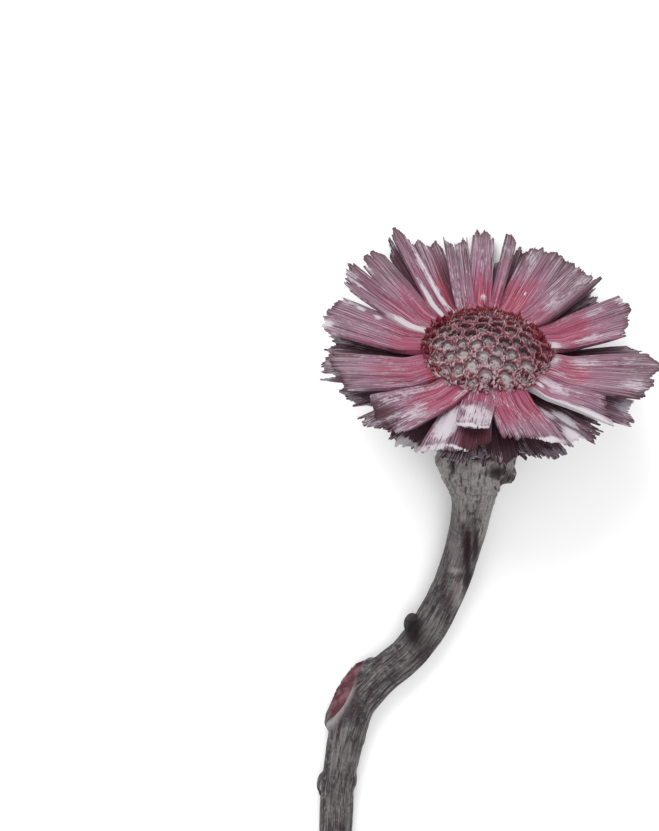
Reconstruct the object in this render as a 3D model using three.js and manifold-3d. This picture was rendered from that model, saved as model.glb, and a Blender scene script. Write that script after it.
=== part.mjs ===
// A dried protea rosette: the opened seed head of a sugarbush, dyed and limewashed, on its woody stem.
// It lies on a table. Millimetres, +Z up, the table at z = 0, +Y from the stem's cut end to the head.
import * as THREE from "three";
import { mergeVertices } from "three/addons/utils/BufferGeometryUtils.js";
import Module from "manifold-3d";

const wasm = await Module();
wasm.setup();

// The place of the seed disc's middle over the table, and the way the disc faces
const HEAD_PLACE = new THREE.Vector3(-0.42, 118.99, 31.1);
const HEAD_RAISED = 36; // degrees that the head's axis rises above level
const HEAD_TURNED = 4.3; // degrees that the head's axis turns from +Y towards +X
const GAP = 0.3; // between pieces that touch

// The seed disc
const CELL_COUNT = 56;
const CELL_SPREAD = 1.83; // a cell's distance from the middle is this times the root of its number
const CELL_UNEVEN = 0.7; // how far apart two like cells' middles may be drawn
const DISC_RADIUS = 14.3;
const DISC_DOME = 5.4; // height of the middle over the rim
const DISC_UNDERSIDE = -1.2;
const RIM_HEIGHT = 0.6; // walls between the cups, over the dome
const PIT_DEPTH = 1.3; // bottoms of the cups, under the dome
const SCALE_HEIGHT = 1.7; // pointed scales round the edge, over the dome

// The receptacle's cone, as radius and height from the disc's middle
const CONE = [
  [13.2, DISC_UNDERSIDE - GAP],
  [13.7, -3],
  [13.3, -6.5],
  [12.1, -11.5],
  [10.6, -16.5],
  [9.1, -21.5],
  [8.3, -25.5],
];
const CONE_SIDES = 28;

// The top row, bract by bract: root and tip turn in degrees round the head from its +X towards the table,
// reach from the axis, width at root and tip, rise at root and tip in degrees, cup, twist in degrees
const TOP_ROW = [
  [168.0, 164.8, 36.8, 6.5, 15.4, 7, 9, -0.05, 4],
  [150.4, 147.4, 38.0, 4.0, 7.0, 8, 17, 0.1, -10],
  [140.5, 134.6, 38.4, 4.8, 7.5, 9, 17, -0.1, 6],
  [129.0, 121.6, 41.0, 4.0, 4.3, 13, 18, 0.25, 8],
  [119.0, 113.2, 37.0, 4.8, 7.4, 9, 15, -0.15, -6],
  [110.2, 102.4, 36.8, 3.9, 5.6, 12, 17, 0.2, -12],
  [100.6, 92.2, 38.2, 6.6, 5.0, 11, 17, -0.1, 4],
  [87.6, 82.7, 37.8, 2.0, 3.0, 14, 19, 0.1, 22],
  [74.4, 68.6, 37.0, 6.4, 11.0, 9, 15, -0.1, 4],
  [57.2, 51.8, 37.0, 4.8, 11.0, 8, 17, 0.22, -10],
  [33.8, 28.5, 37.2, 7.4, 14.6, 6, 10, -0.06, -4],
  [-10.4, -6.4, 37.6, 7.0, 16.0, 6, 7, -0.05, 5],
  [-41.0, -27.4, 32.6, 5.0, 7.4, 3, -4, 0.3, 16],
  [-69.2, -69.2, 34.6, 7.4, 15.4, 9, 5, -0.12, -4],
  [-93.5, -95.6, 28.2, 7.4, 7.6, 13, 12, 0.08, 0],
  [-101.0, -100.6, 33.2, 7.0, 16.6, 3, -3, -0.2, 0],
  [-112.8, -130.0, 34.6, 6.2, 12.4, 9, 5, 0.28, -14],
  [-152.5, -162.2, 35.3, 8.0, 15.0, 6, 7, -0.06, 6],
];
// The share of its length that each keeps, where its end is torn, from one side of it to the other
const TOP_ENDS = [
  [0.90, 0.91, 0.94, 0.95, 0.96, 0.95, 0.90],
  [1.00, 1.00, 0.98, 0.95, 0.93, 0.90, 0.84],
  [0.93, 0.97, 0.99, 1.00, 0.98, 0.95, 0.90],
  [0.80, 0.90, 0.96, 0.99, 0.97, 0.93, 0.88],
  [0.88, 0.97, 0.93, 0.95, 1.02, 0.98, 0.95],
  [0.95, 0.97, 0.92, 0.91, 0.90, 0.91, 0.97],
  [0.93, 0.94, 0.97, 1.00, 0.94, 0.99, 0.95],
  [0.90, 0.92, 0.94, 0.95, 0.95, 0.94, 0.92],
  [0.96, 0.95, 1.00, 0.95, 0.97, 0.95, 0.87],
  [0.89, 0.90, 0.90, 0.92, 0.90, 0.92, 0.93],
  [0.77, 0.81, 0.88, 0.94, 0.98, 0.95, 0.95],
  [0.85, 0.90, 0.95, 0.94, 1.00, 0.95, 0.86],
  [1.00, 1.00, 0.92, 0.88, 0.84, 0.82, 0.80],
  [0.70, 0.78, 0.80, 0.83, 0.90, 0.92, 0.90],
  [0.96, 0.98, 0.99, 0.98, 0.97, 0.95, 0.93],
  [0.97, 0.99, 1.00, 0.98, 0.92, 0.82, 0.70],
  [0.95, 0.97, 0.93, 0.97, 0.92, 0.95, 0.93],
  [0.88, 0.92, 0.95, 0.95, 0.93, 0.92, 0.88],
];
// The second row, in the same terms
const SECOND_ROW = [
  [176.0, 181.0, 36.6, 4.3, 9.5, 2, -2, 0.1, 6],
  [165.0, 170.0, 35.0, 3.9, 9.0, 1, 0, 0.1, -5],
  [142.0, 137.0, 33.0, 3.9, 7.4, 5, 6, -0.1, 8],
  [130.4, 123.8, 41.0, 3.5, 5.0, 14, 20, 0.1, 10],
  [121.0, 118.4, 36.0, 3.9, 7.0, 8, 10, 0.2, -8],
  [107.0, 106.6, 36.4, 3.5, 6.5, 8, 11, 0.1, 12],
  [91.0, 88.0, 36.8, 3.5, 6.0, 8, 12, -0.1, -6],
  [82.0, 78.4, 38.6, 3.1, 5.5, 10, 14, 0.2, 10],
  [62.0, 56.0, 39.2, 3.9, 9.0, 7, 11, 0.1, 6],
  [47.0, 45.6, 37.4, 3.9, 9.0, 5, 9, -0.1, -8],
  [22.0, 13.0, 35.6, 4.3, 8.0, 3, 3, 0.1, 10],
  [3.0, 0.0, 35.2, 3.9, 9.0, 1, -2, 0.1, -6],
  [-20.0, -16.3, 35.4, 4.3, 7.8, 0, -3, -0.1, 8],
  [-41.0, -41.8, 32.2, 4.2, 10.6, 2, -2, -0.1, -6],
  [-62.0, -59.0, 28.6, 3.9, 8.0, 0, -4, 0.15, 10],
  [-82.0, -80.0, 28.4, 3.9, 8.0, 0, -10, 0.1, -8],
  [-104.0, -106.0, 26.6, 4.7, 9.0, -2, -12, 0.2, 6],
  [-123.0, -125.6, 31.6, 4.7, 10.0, 1, -6, 0.1, -12],
  [-138.0, -138.6, 33.2, 4.7, 9.5, 1, -3, -0.1, 8],
  [-156.0, -158.6, 33.4, 4.7, 9.0, 1, 0, 0.15, -6],
  [-168.0, -172.0, 37.0, 3.5, 9.5, 2, 1, 0.1, 10],
  [36.0, 32.5, 37.8, 3.9, 8.0, 6, 8, 0.1, -6],
];
const TOP_ROOT = { radius: 11.9, height: -3.1, grid: [3, 6] };
const SECOND_ROOT = { radius: 11.9, height: -6.4, grid: [3, 4] };

// The rows under it: how many, root radius and height, reach of the blade at the sides, over the stem and
// over the table, width at root and tip, rise at root and tip, and the blade's divisions
const LOWER_ROWS = [
  { count: 17, radius: 10.8, height: -11.2, long: [18.8, 11.4, 21.4], wide: [3.8, 8.0], rise: [-4, -8], grid: [2, 4] },
  { count: 14, radius: 9.4, height: -15.9, long: [14.0, 8.2, 15.4], wide: [3.8, 6.8], rise: [-12, -20], grid: [2, 3] },
  { count: 12, radius: 7.9, height: -20.4, long: [8.5, 5.5, 8.5], wide: [3.6, 5.2], rise: [-20, -30], grid: [1, 3] },
];
const ROOT_THICKNESS = 1.1;
const TIP_THICKNESS = 0.7;
const TORN = 0.2; // largest share of a blade's length missing at its torn end

// The stem's middle line from the cone down to the cut end, as x, y, z from under the disc, and its radius
const STEM = [
  [-1.6, -20.9, 16.0, 8.3],
  [-1.8, -24.0, 13.8, 8.9],
  [-2.0, -27.0, 11.8, 8.5],
  [-2.1, -29.9, 10.3, 6.9],
  [-2.2, -33.4, 8.6, 5.4],
  [-2.6, -38.1, 6.8, 4.6],
  [-3.5, -43.0, 5.6, 4.25],
  [-4.8, -47.8, 4.8, 4.1],
  [-6.3, -52.6, 4.5, 4.1],
  [-8.2, -57.3, 4.4, 4.1],
  [-12.4, -65.2, 4.4, 4.2],
  [-17.1, -71.3, 4.5, 4.2],
  [-23.2, -76.4, 4.6, 4.3],
  [-28.5, -82.4, 4.6, 4.3],
  [-30.7, -88.0, 4.4, 4.3],
  [-32.2, -94.5, 4.1, 4.05],
  [-33.4, -102.0, 3.8, 3.85],
  [-33.9, -112.5, 3.65, 3.75],
  [-34.2, -127.0, 3.9, 3.75],
  [-33.0, -146.0, 4.1, 3.8],
  [-30.3, -170.0, 4.0, 3.7],
  [-27.2, -196.0, 3.9, 3.7],
  [-25.2, -221.0, 3.7, 3.75],
  [-24.8, -243.0, 3.55, 3.65],
  [-25.8, -264.0, 3.45, 3.6],
];
const STEM_SIDES = 14;
const STEM_STEP = 4.6;
const CUT_SLANT = 22; // degrees that the secateurs' cut leans

// Knobs, buds and scars on it: place from under the disc, half sizes along, across and up
const KNOBS = [
  [4.6, -28.8, 12.4, 2.7, 2.6, 2.8],
  [-8.6, -25.6, 14.4, 2.6, 2.2, 2.6],
  [-3.4, -27.6, 17.7, 2.8, 3.2, 1.9],
  [3.0, -30.0, 8.0, 2.0, 2.4, 2.0],
  [-7.0, -30.6, 8.8, 2.0, 1.8, 2.0],
  [-16.2, -64.4, 5.8, 2.7, 1.9, 1.9],
  [-28.5, -90.8, 4.4, 2.4, 1.6, 1.8],
  [-30.1, -100.4, 4.3, 2.6, 1.3, 1.6],
  [-36.9, -101.8, 4.1, 3.0, 1.5, 1.6],
  [-31.0, -133.5, 4.6, 2.6, 1.5, 1.6],
  [-35.3, -158.0, 4.6, 2.4, 1.4, 1.5],
  [-25.7, -184.0, 4.9, 2.8, 1.5, 1.6],
  [-28.9, -209.5, 4.4, 2.4, 1.4, 1.5],
  [-22.2, -233.0, 4.4, 2.6, 1.3, 1.5],
];

// The side shoot's stub and the plane of its oblique cut
const STUB_FROM = new THREE.Vector3(-31.7, -92.0, 4.3);
const STUB_TO = new THREE.Vector3(-30.6, -66.0, 5.6);
const STUB_RADIUS = [4.0, 4.3];
const STUB_CUT_POINT = new THREE.Vector3(-31.0, -79.6, 5.0);
const STUB_CUT_FACES = new THREE.Vector3(-0.72, 0.52, 0.46);

const UPRIGHT = 90;
const radians = THREE.MathUtils.degToRad;

// A repeatable draw between 0 and 1 for the number and the place in its list
function draw(number, place) {
  const wave = Math.sin(number * 12.9898 + place * 78.233) * 43758.5453;
  return wave - Math.floor(wave);
}

// A closed geometry as a solid that can be joined and cut
function solid(geometry) {
  const bare = new THREE.BufferGeometry();
  bare.setAttribute("position", geometry.getAttribute("position"));
  bare.setIndex(geometry.index);
  const merged = mergeVertices(bare, 1e-4);
  const mesh = new wasm.Mesh({
    numProp: 3,
    vertProperties: merged.attributes.position.array,
    triVerts: new Uint32Array(merged.index.array),
  });
  return new wasm.Manifold(mesh);
}

// The solid's surface as a geometry
function surface(made) {
  const mesh = made.getMesh();
  const geometry = new THREE.BufferGeometry();
  geometry.setAttribute("position", new THREE.BufferAttribute(new Float32Array(mesh.vertProperties), 3));
  geometry.setIndex(new THREE.BufferAttribute(new Uint32Array(mesh.triVerts), 1));
  return geometry;
}

// A geometry from points and triangles
function shape(points, triangles) {
  const geometry = new THREE.BufferGeometry();
  geometry.setAttribute("position", new THREE.Float32BufferAttribute(points.flatMap((p) => p.toArray()), 3));
  geometry.setIndex(triangles.flat());
  return geometry;
}

// Joins rings of equally many points into a closed tube with flat-fanned ends
function closedTube(rings) {
  const around = rings[0].length;
  const points = rings.flat();
  const triangles = [];
  for (let i = 0; i + 1 < rings.length; i++) {
    for (let j = 0; j < around; j++) {
      const k = (j + 1) % around;
      const [a, b, c, d] = [i * around + j, i * around + k, (i + 1) * around + j, (i + 1) * around + k];
      triangles.push([a, c, b], [b, c, d]);
    }
  }
  for (const [ring, turn] of [[0, false], [rings.length - 1, true]]) {
    const middle = points.length;
    const sum = new THREE.Vector3();
    rings[ring].forEach((p) => sum.add(p));
    points.push(sum.divideScalar(around));
    for (let j = 0; j < around; j++) {
      const [a, b] = [ring * around + j, ring * around + ((j + 1) % around)];
      triangles.push(turn ? [middle, b, a] : [middle, a, b]);
    }
  }
  return shape(points, triangles);
}

// The table under the part, as seen from a group's own frame
function tableIn(frame) {
  const table = new THREE.BoxGeometry(800, 800, 100);
  table.translate(0, 0, -50);
  table.applyMatrix4(frame.clone().invert());
  return solid(table);
}

// A blade's middle line at u = 0 to 1: its point, its direction and its upper side
function bladeLine(bract, u) {
  const bend = radians(bract.rise[1] - bract.rise[0]) || 1e-6;
  const start = radians(bract.rise[0]);
  const angle = start + bend * u;
  const along = (v) => bract.radius + (bract.length * (Math.sin(start + bend * v) - Math.sin(start))) / bend;
  const height = bract.height + (bract.length * (Math.cos(start) - Math.cos(angle))) / bend;
  const reach = along(u);
  const swing = (1 - bract.radius / reach) / (1 - bract.radius / along(1));
  const turn = radians(bract.turn[0] + (bract.turn[1] - bract.turn[0]) * swing);
  const outward = new THREE.Vector3(Math.cos(turn), Math.sin(turn), 0);
  const point = outward.clone().multiplyScalar(reach).setZ(height);
  const upper = outward.clone().multiplyScalar(-Math.sin(angle)).setZ(Math.cos(angle));
  return { point, upper };
}

// Where a blade's surface is at u along it and q = -1 to 1 across, and the way it faces there
function bladePoint(bract, u, q) {
  const { point, upper } = bladeLine(bract, u);
  const ahead = bladeLine(bract, u + 0.02).point.sub(bladeLine(bract, u - 0.02).point).normalize();
  const across = upper.clone().cross(ahead).normalize();
  const faces = ahead.clone().cross(across);
  const twist = radians(bract.twist) * u;
  across.applyAxisAngle(ahead, twist);
  faces.applyAxisAngle(ahead, twist);
  const half = (bract.wide[0] + (bract.wide[1] - bract.wide[0]) * Math.pow(u, 0.8)) / 2;
  const wave = 0.05 * Math.sin(Math.PI * (1.6 * q + 2 * bract.phase)) * u;
  const lift = half * (bract.cup * (q * q - 0.4) + wave);
  return { point: point.addScaledVector(across, q * half).addScaledVector(faces, lift), faces };
}

// Share of the blade's length that is left at a division, as listed or torn by a draw
function tornEnd(bract, column, columns) {
  if (bract.ends) return bract.ends[column];
  const edge = Math.abs((2 * column) / columns - 1);
  return 1 - TORN * (0.75 * draw(bract.number, column + 3) + 0.25 * edge * edge);
}

// One bract: a thin closed blade, split alike on both faces, with a torn end
function bractSolid(bract) {
  const [rows, columns] = bract.grid;
  const points = [];
  for (const side of [1, -1]) {
    for (let i = 0; i <= rows; i++) {
      for (let j = 0; j <= columns; j++) {
        const u = (i / rows) * tornEnd(bract, j, columns);
        const { point, faces } = bladePoint(bract, u, (2 * j) / columns - 1);
        const thick = ROOT_THICKNESS + (TIP_THICKNESS - ROOT_THICKNESS) * u;
        points.push(point.addScaledVector(faces, (side * thick) / 2));
      }
    }
  }
  const line = columns + 1;
  const under = (rows + 1) * line;
  const triangles = [];
  for (let i = 0; i < rows; i++) {
    for (let j = 0; j < columns; j++) {
      const [a, b, c, d] = [i * line + j, i * line + j + 1, (i + 1) * line + j, (i + 1) * line + j + 1];
      triangles.push([a, c, b], [b, c, d]);
      triangles.push([a + under, b + under, c + under], [b + under, d + under, c + under]);
    }
  }
  const wall = (a, b) => triangles.push([b, a, a + under], [b, a + under, b + under]);
  for (let i = 0; i < rows; i++) {
    wall(i * line, (i + 1) * line);
    wall((i + 1) * line + columns, i * line + columns);
  }
  for (let j = 0; j < columns; j++) {
    wall(j + 1, j);
    wall(rows * line + j, rows * line + j + 1);
  }
  return solid(shape(points, triangles));
}

// The bracts of a row that is listed one by one
function listedRow(list, root, firstNumber, ends = []) {
  return list.map(([rootTurn, tipTurn, reach, rootWide, tipWide, rootRise, tipRise, cup, twist], i) => ({
    number: firstNumber + i,
    turn: [rootTurn, tipTurn],
    radius: root.radius,
    height: root.height,
    length: (reach - root.radius) / Math.cos(radians((rootRise + tipRise) / 2)) / (1 - TORN / 3),
    wide: [rootWide, tipWide],
    rise: [rootRise, tipRise],
    cup,
    twist,
    phase: draw(firstNumber + i, 1),
    ends: ends[i],
    grid: root.grid,
  }));
}

// The lower rows' bracts, set by rule with a seeded draw
function lowerRows() {
  const bracts = [];
  LOWER_ROWS.forEach((row, r) => {
    for (let i = 0; i < row.count; i++) {
      const number = 100 * (r + 2) + i;
      const turn = (360 * (i + 0.5 * (r % 2) + 0.45 * (draw(number, 0) - 0.5))) / row.count;
      const towards = Math.sin(radians(turn)); // 1 over the table, -1 over the stem
      const [sides, overStem, overTable] = row.long;
      const other = towards < 0 ? overStem : overTable;
      const share = towards * towards;
      const length = (sides + (other - sides) * share) * (0.94 + 0.12 * draw(number, 1));
      bracts.push({
        number,
        turn: [turn, turn + 8 * (draw(number, 2) - 0.5)],
        radius: row.radius,
        height: row.height + 1.2 * (draw(number, 3) - 0.5),
        length,
        wide: row.wide.map((w) => w * (0.8 + 0.4 * draw(number, 4))),
        rise: row.rise.map((degrees) => degrees + 6 * (draw(number, 5) - 0.5)),
        cup: 0.36 * (draw(number, 6) - 0.35),
        twist: 30 * (draw(number, 7) - 0.5),
        phase: draw(number, 8),
        grid: row.grid,
      });
    }
  });
  return bracts;
}

// The bracts, fused to the receptacle's cone that they grow from
function bractsSolid(table) {
  const profile = [[0, CONE[0][1]], ...CONE, [0, CONE[CONE.length - 1][1]]];
  const turned = new THREE.LatheGeometry(
    profile.reverse().map(([radius, height]) => new THREE.Vector2(radius, height)),
    CONE_SIDES,
  );
  turned.rotateX(Math.PI / 2);
  const cone = solid(turned);
  const listed = [...listedRow(TOP_ROW, TOP_ROOT, 1, TOP_ENDS), ...listedRow(SECOND_ROW, SECOND_ROOT, 101)];
  const blades = [...listed, ...lowerRows()].map(bractSolid);
  return blades.reduce((whole, blade) => whole.add(blade), cone).subtract(table);
}

// The middles of the disc's cells, in the order that a seed head fills, and of the ones just past its edge
function cellMiddles() {
  const golden = Math.PI * (3 - Math.sqrt(5));
  const middles = [];
  for (let n = 0; n < 2.2 * CELL_COUNT; n++) {
    const reach = CELL_SPREAD * Math.sqrt(n + 0.5);
    const [sideways, upwards] = [33, 34].map((place) => CELL_UNEVEN * (draw(n, place) - 0.5));
    middles.push(new THREE.Vector2(reach * Math.cos(n * golden) + sideways, reach * Math.sin(n * golden) + upwards));
  }
  return middles;
}

// The corners of the space round one middle that is nearer to it than to any other
function cellCorners(middle, others) {
  let corners = [];
  for (let k = 0; k < 8; k++) {
    const turn = (k * Math.PI) / 4;
    corners.push(new THREE.Vector2(middle.x + 6 * Math.cos(turn), middle.y + 6 * Math.sin(turn)));
  }
  for (const other of others) {
    if (other === middle || other.distanceTo(middle) > 10) continue;
    const half = middle.clone().add(other).multiplyScalar(0.5);
    const away = other.clone().sub(middle);
    const over = (p) => p.clone().sub(half).dot(away);
    const kept = [];
    corners.forEach((a, i) => {
      const b = corners[(i + 1) % corners.length];
      const [fromA, fromB] = [over(a), over(b)];
      if (fromA <= 0) kept.push(a);
      if (fromA * fromB < 0) kept.push(a.clone().lerp(b, fromA / (fromA - fromB)));
    });
    corners = kept;
  }
  return corners;
}

// The dome's height at a distance from the axis
function dome(reach) {
  return DISC_DOME * (1 - (reach / DISC_RADIUS) ** 2);
}

// The seed disc: a dome with a cup for each cell, a raised net between them and pointed scales at the edge
function discGeometry() {
  const middles = cellMiddles();
  const points = [];
  const corners = [];
  const triangles = [];
  const addPoint = (flat, height) => points.push(new THREE.Vector3(flat.x, flat.y, height)) - 1;
  const edgeShare = (reach) => THREE.MathUtils.smoothstep(reach, DISC_RADIUS - 3.6, DISC_RADIUS - 0.6);
  const cornerOf = (place) => {
    const near = corners.find((c) => c.place.distanceTo(place) < 0.3);
    if (near) return near;
    const reach = place.length();
    const rise = RIM_HEIGHT * (0.8 + 0.5 * draw(corners.length, 21));
    const height = dome(reach) + rise + (SCALE_HEIGHT - RIM_HEIGHT) * edgeShare(reach);
    const made = { place, number: addPoint(place, height) };
    corners.push(made);
    return made;
  };
  const saddles = new Map();
  const saddleOf = (a, b) => {
    const key = a.number < b.number ? a.number + "_" + b.number : b.number + "_" + a.number;
    if (!saddles.has(key)) {
      const place = a.place.clone().add(b.place).multiplyScalar(0.5);
      saddles.set(key, addPoint(place, dome(place.length()) + RIM_HEIGHT * 0.5));
    }
    return saddles.get(key);
  };
  const edges = new Map();
  const addEdge = (a, b) => {
    if (edges.has(b + "_" + a)) edges.delete(b + "_" + a);
    else edges.set(a + "_" + b, [a, b]);
  };
  middles.slice(0, CELL_COUNT).forEach((middle) => {
    const found = cellCorners(middle, middles).map(cornerOf);
    const ring = found.filter((c, i) => c !== found[(i + 1) % found.length]);
    const bottom = dome(middle.length()) - PIT_DEPTH;
    const pit = ring.map((a, i) => {
      const place = a.place.clone().add(ring[(i + 1) % ring.length].place).multiplyScalar(0.5);
      return addPoint(place.lerp(middle, 0.4), bottom);
    });
    const centre = addPoint(middle, bottom + 0.25);
    ring.forEach((a, i) => {
      const b = ring[(i + 1) % ring.length];
      const saddle = saddleOf(a, b);
      const [before, here] = [pit[(i + ring.length - 1) % ring.length], pit[i]];
      triangles.push([a.number, here, before], [a.number, saddle, here], [saddle, b.number, here]);
      triangles.push([before, here, centre]);
      addEdge(a.number, saddle);
      addEdge(saddle, b.number);
    });
  });
  const feet = new Map();
  const footOf = (number) => {
    if (!feet.has(number)) {
      const { x, y } = points[number];
      feet.set(number, addPoint(new THREE.Vector2(x, y).multiplyScalar(0.95), DISC_UNDERSIDE));
    }
    return feet.get(number);
  };
  const hub = addPoint(new THREE.Vector2(), DISC_UNDERSIDE);
  for (const [a, b] of edges.values()) {
    const [footA, footB] = [footOf(a), footOf(b)];
    triangles.push([a, footA, b], [b, footA, footB], [hub, footB, footA]);
  }
  return shape(points, triangles);
}

// A ring of points round a place on a rod, squashed and grooved a little as bark is
function barkRing(place, ahead, radius, number, sides) {
  const side = ahead.clone().cross(new THREE.Vector3(0, 0, 1)).normalize();
  const top = side.clone().cross(ahead);
  return Array.from({ length: sides }, (_, j) => {
    const turn = (2 * Math.PI * j) / sides;
    const lump = 0.03 * Math.sin(3 * turn + 0.7 * number) + 0.025 * Math.sin(5 * turn - 1.3 * number);
    const out = radius * (1 + lump);
    return place.clone().addScaledVector(side, out * Math.cos(turn)).addScaledVector(top, out * Math.sin(turn));
  });
}

// The bare stem, from the cone's foot to the slanted cut
function stemTube() {
  const line = new THREE.CatmullRomCurve3(STEM.map(([x, y, z]) => new THREE.Vector3(x, y, z)));
  const sizes = new THREE.CatmullRomCurve3(STEM.map(([, , , radius], i) => new THREE.Vector3(radius, i, 0)));
  const rings = [];
  const last = STEM.length - 1;
  for (let i = 0; i < last; i++) {
    const span = Math.hypot(...[0, 1, 2].map((k) => STEM[i + 1][k] - STEM[i][k]));
    const steps = Math.max(1, Math.round(span / STEM_STEP));
    for (let k = 0; k < steps; k++) rings.push((i + k / steps) / last);
  }
  rings.push(1);
  const made = rings.map((t, number) =>
    barkRing(line.getPoint(t), line.getTangent(t), sizes.getPoint(t).x, number, STEM_SIDES),
  );
  const end = line.getPoint(1);
  const ahead = line.getTangent(1);
  made[made.length - 1].forEach((p) => {
    const over = p.clone().sub(end);
    p.addScaledVector(ahead, over.x * Math.tan(radians(CUT_SLANT)));
  });
  return closedTube(made);
}

// A rounded knob on the stem
function knob([x, y, z, along, across, up]) {
  const ball = new THREE.SphereGeometry(1, 8, 6);
  ball.rotateX(Math.PI / 2);
  ball.scale(across, along, up);
  ball.translate(x, y, z);
  return solid(ball);
}

// The stub of the side shoot, cut off at a slant
function stubSolid() {
  const ahead = STUB_TO.clone().sub(STUB_FROM).normalize();
  const rings = [0, 0.25, 0.5, 0.75, 1].map((t, number) => {
    const radius = THREE.MathUtils.lerp(STUB_RADIUS[0], STUB_RADIUS[1], t);
    return barkRing(STUB_FROM.clone().lerp(STUB_TO, t), ahead, radius, number, STEM_SIDES);
  });
  const cut = new THREE.BoxGeometry(60, 60, 40);
  cut.translate(0, 0, 20);
  cut.applyQuaternion(
    new THREE.Quaternion().setFromUnitVectors(new THREE.Vector3(0, 0, 1), STUB_CUT_FACES.clone().normalize()),
  );
  cut.translate(...STUB_CUT_POINT.toArray());
  return solid(closedTube(rings)).subtract(solid(cut));
}

// The whole stem: collar, knobs, bud and stub, resting on the table
function stemSolid(table, coneFoot) {
  const whole = KNOBS.map(knob).reduce((made, one) => made.add(one), solid(stemTube()).add(stubSolid()));
  return whole.subtract(table).subtract(coneFoot);
}

// The space that the cone's foot and its gap take up, as the stem sees it
function coneFootSpace(head) {
  const space = new THREE.CylinderGeometry(30, 30, 40, 24);
  space.rotateX(Math.PI / 2);
  space.translate(0, 0, CONE[CONE.length - 1][1] - GAP + 20);
  space.applyMatrix4(head.matrix);
  return solid(space);
}

function piece(name, geometry, colour, roughness) {
  const material = new THREE.MeshStandardMaterial({ color: colour, roughness, metalness: 0 });
  const mesh = new THREE.Mesh(geometry, material);
  mesh.name = name;
  return mesh;
}

const head = new THREE.Group();
head.rotation.set(radians(HEAD_RAISED - UPRIGHT), 0, radians(-HEAD_TURNED), "ZXY");
head.position.set(0, 0, HEAD_PLACE.z);
head.updateMatrix();
head.add(piece("bracts", surface(bractsSolid(tableIn(head.matrix))), 0x93505f, 0.85));
head.add(piece("seed_disc", discGeometry(), 0x7c3440, 0.8));

const stemGeometry = surface(stemSolid(tableIn(new THREE.Matrix4()), coneFootSpace(head)));

const protea = new THREE.Group();
protea.position.set(HEAD_PLACE.x, HEAD_PLACE.y, 0);
protea.add(head, piece("stem", stemGeometry, 0x77706f, 0.9));

export default protea;
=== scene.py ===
# The looks of a dried protea rosette on its woody stem, dyed rose and limewashed, lying on a table.
# Shapes are worked out in millimetres in the part's own frame, and handed over in metres.
import math
from collections import namedtuple

import bmesh
import bpy
import numpy as np
from mathutils import Matrix, Vector
from mathutils.kdtree import KDTree


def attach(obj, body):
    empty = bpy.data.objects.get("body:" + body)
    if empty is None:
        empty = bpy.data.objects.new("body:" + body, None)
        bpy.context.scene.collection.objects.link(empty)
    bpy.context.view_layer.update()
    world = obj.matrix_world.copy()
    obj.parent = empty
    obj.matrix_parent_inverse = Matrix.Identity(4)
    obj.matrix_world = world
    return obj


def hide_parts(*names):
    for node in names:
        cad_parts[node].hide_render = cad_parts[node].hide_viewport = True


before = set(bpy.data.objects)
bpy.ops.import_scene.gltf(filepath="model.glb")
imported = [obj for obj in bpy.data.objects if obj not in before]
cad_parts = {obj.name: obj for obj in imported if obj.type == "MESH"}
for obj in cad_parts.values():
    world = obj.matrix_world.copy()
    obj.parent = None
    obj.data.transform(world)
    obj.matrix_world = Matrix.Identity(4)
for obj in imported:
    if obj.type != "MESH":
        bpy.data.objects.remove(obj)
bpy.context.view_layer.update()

MM = 0.001  # metres in a millimetre

# The place of the seed disc's middle over the table, and the way the disc faces in degrees
HEAD_PLACE = np.array([-0.42, 118.99, 31.1])
HEAD_RAISED, HEAD_TURNED, UPRIGHT = 36, 4.3, 90
HEAD_TURN = np.array(Matrix.Rotation(math.radians(-HEAD_TURNED), 3, "Z")
                     @ Matrix.Rotation(math.radians(HEAD_RAISED - UPRIGHT), 3, "X"))
UNDER_DISC = HEAD_PLACE * (1, 1, 0)
EASED = 0.6  # height over the table under which a low tip bends level

# The seed disc: how many cups, how far apart and how uneven, and its own size
CELL_COUNT, CELL_SPREAD, CELL_UNEVEN = 56, 1.83, 0.7
CELL_REACH, CELL_NEAR, CORNER_SNAP, CELL_EDGE_PARTS = 6, 10, 0.3, 5
DISC_RADIUS, DISC_DOME, DISC_UNDERSIDE = 14.3, 5.4, -1.2
# A cup from the line between two cups (0) to its middle (1): share inwards and height over the dome
CUP_PROFILE = [
    (0, 0), (0.04, 0.12), (0.07, 0.42), (0.11, 0.36), (0.15, -0.15), (0.22, -0.7), (0.34, -1), (0.52, -1.1),
    (0.61, -0.95), (0.66, -0.5), (0.73, -0.34), (0.8, -0.44), (0.86, -1), (1, -1.3),
]
LIP_FROM, LIP_TO = 1, 4  # the rings of that profile that stand up as the lip
RING_FROM, FLOOR_DEPTH = 0.55, -1.05  # where the small ring begins, and how deep the floor lies without it
# Its colours over the same share: the dark stops down the wall, 0.14 to 0.36, and in the middle pit, from
# 0.84 on, are painted shade
CUP_COLOURS_AND_SHADE = [
    (0, "#611925"), (0.04, "#6E202D"), (0.07, "#84414F"), (0.1, "#6C2F3C"), (0.14, "#3F1D26"),
    (0.22, "#27141A"), (0.36, "#261E22"), (0.5, "#665F62"), (0.63, "#5C5458"), (0.73, "#969091"),
    (0.84, "#281F23"), (1, "#271E22"),
]
# The receptacle's cone, as radius and height from the disc's middle
CONE = [(13.2, -1.5), (13.7, -3), (13.3, -6.5), (12.1, -11.5), (10.6, -16.5), (9.1, -21.5), (8.3, -25.5)]
CONE_RINGS, CONE_SIDES = 70, 140

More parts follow.
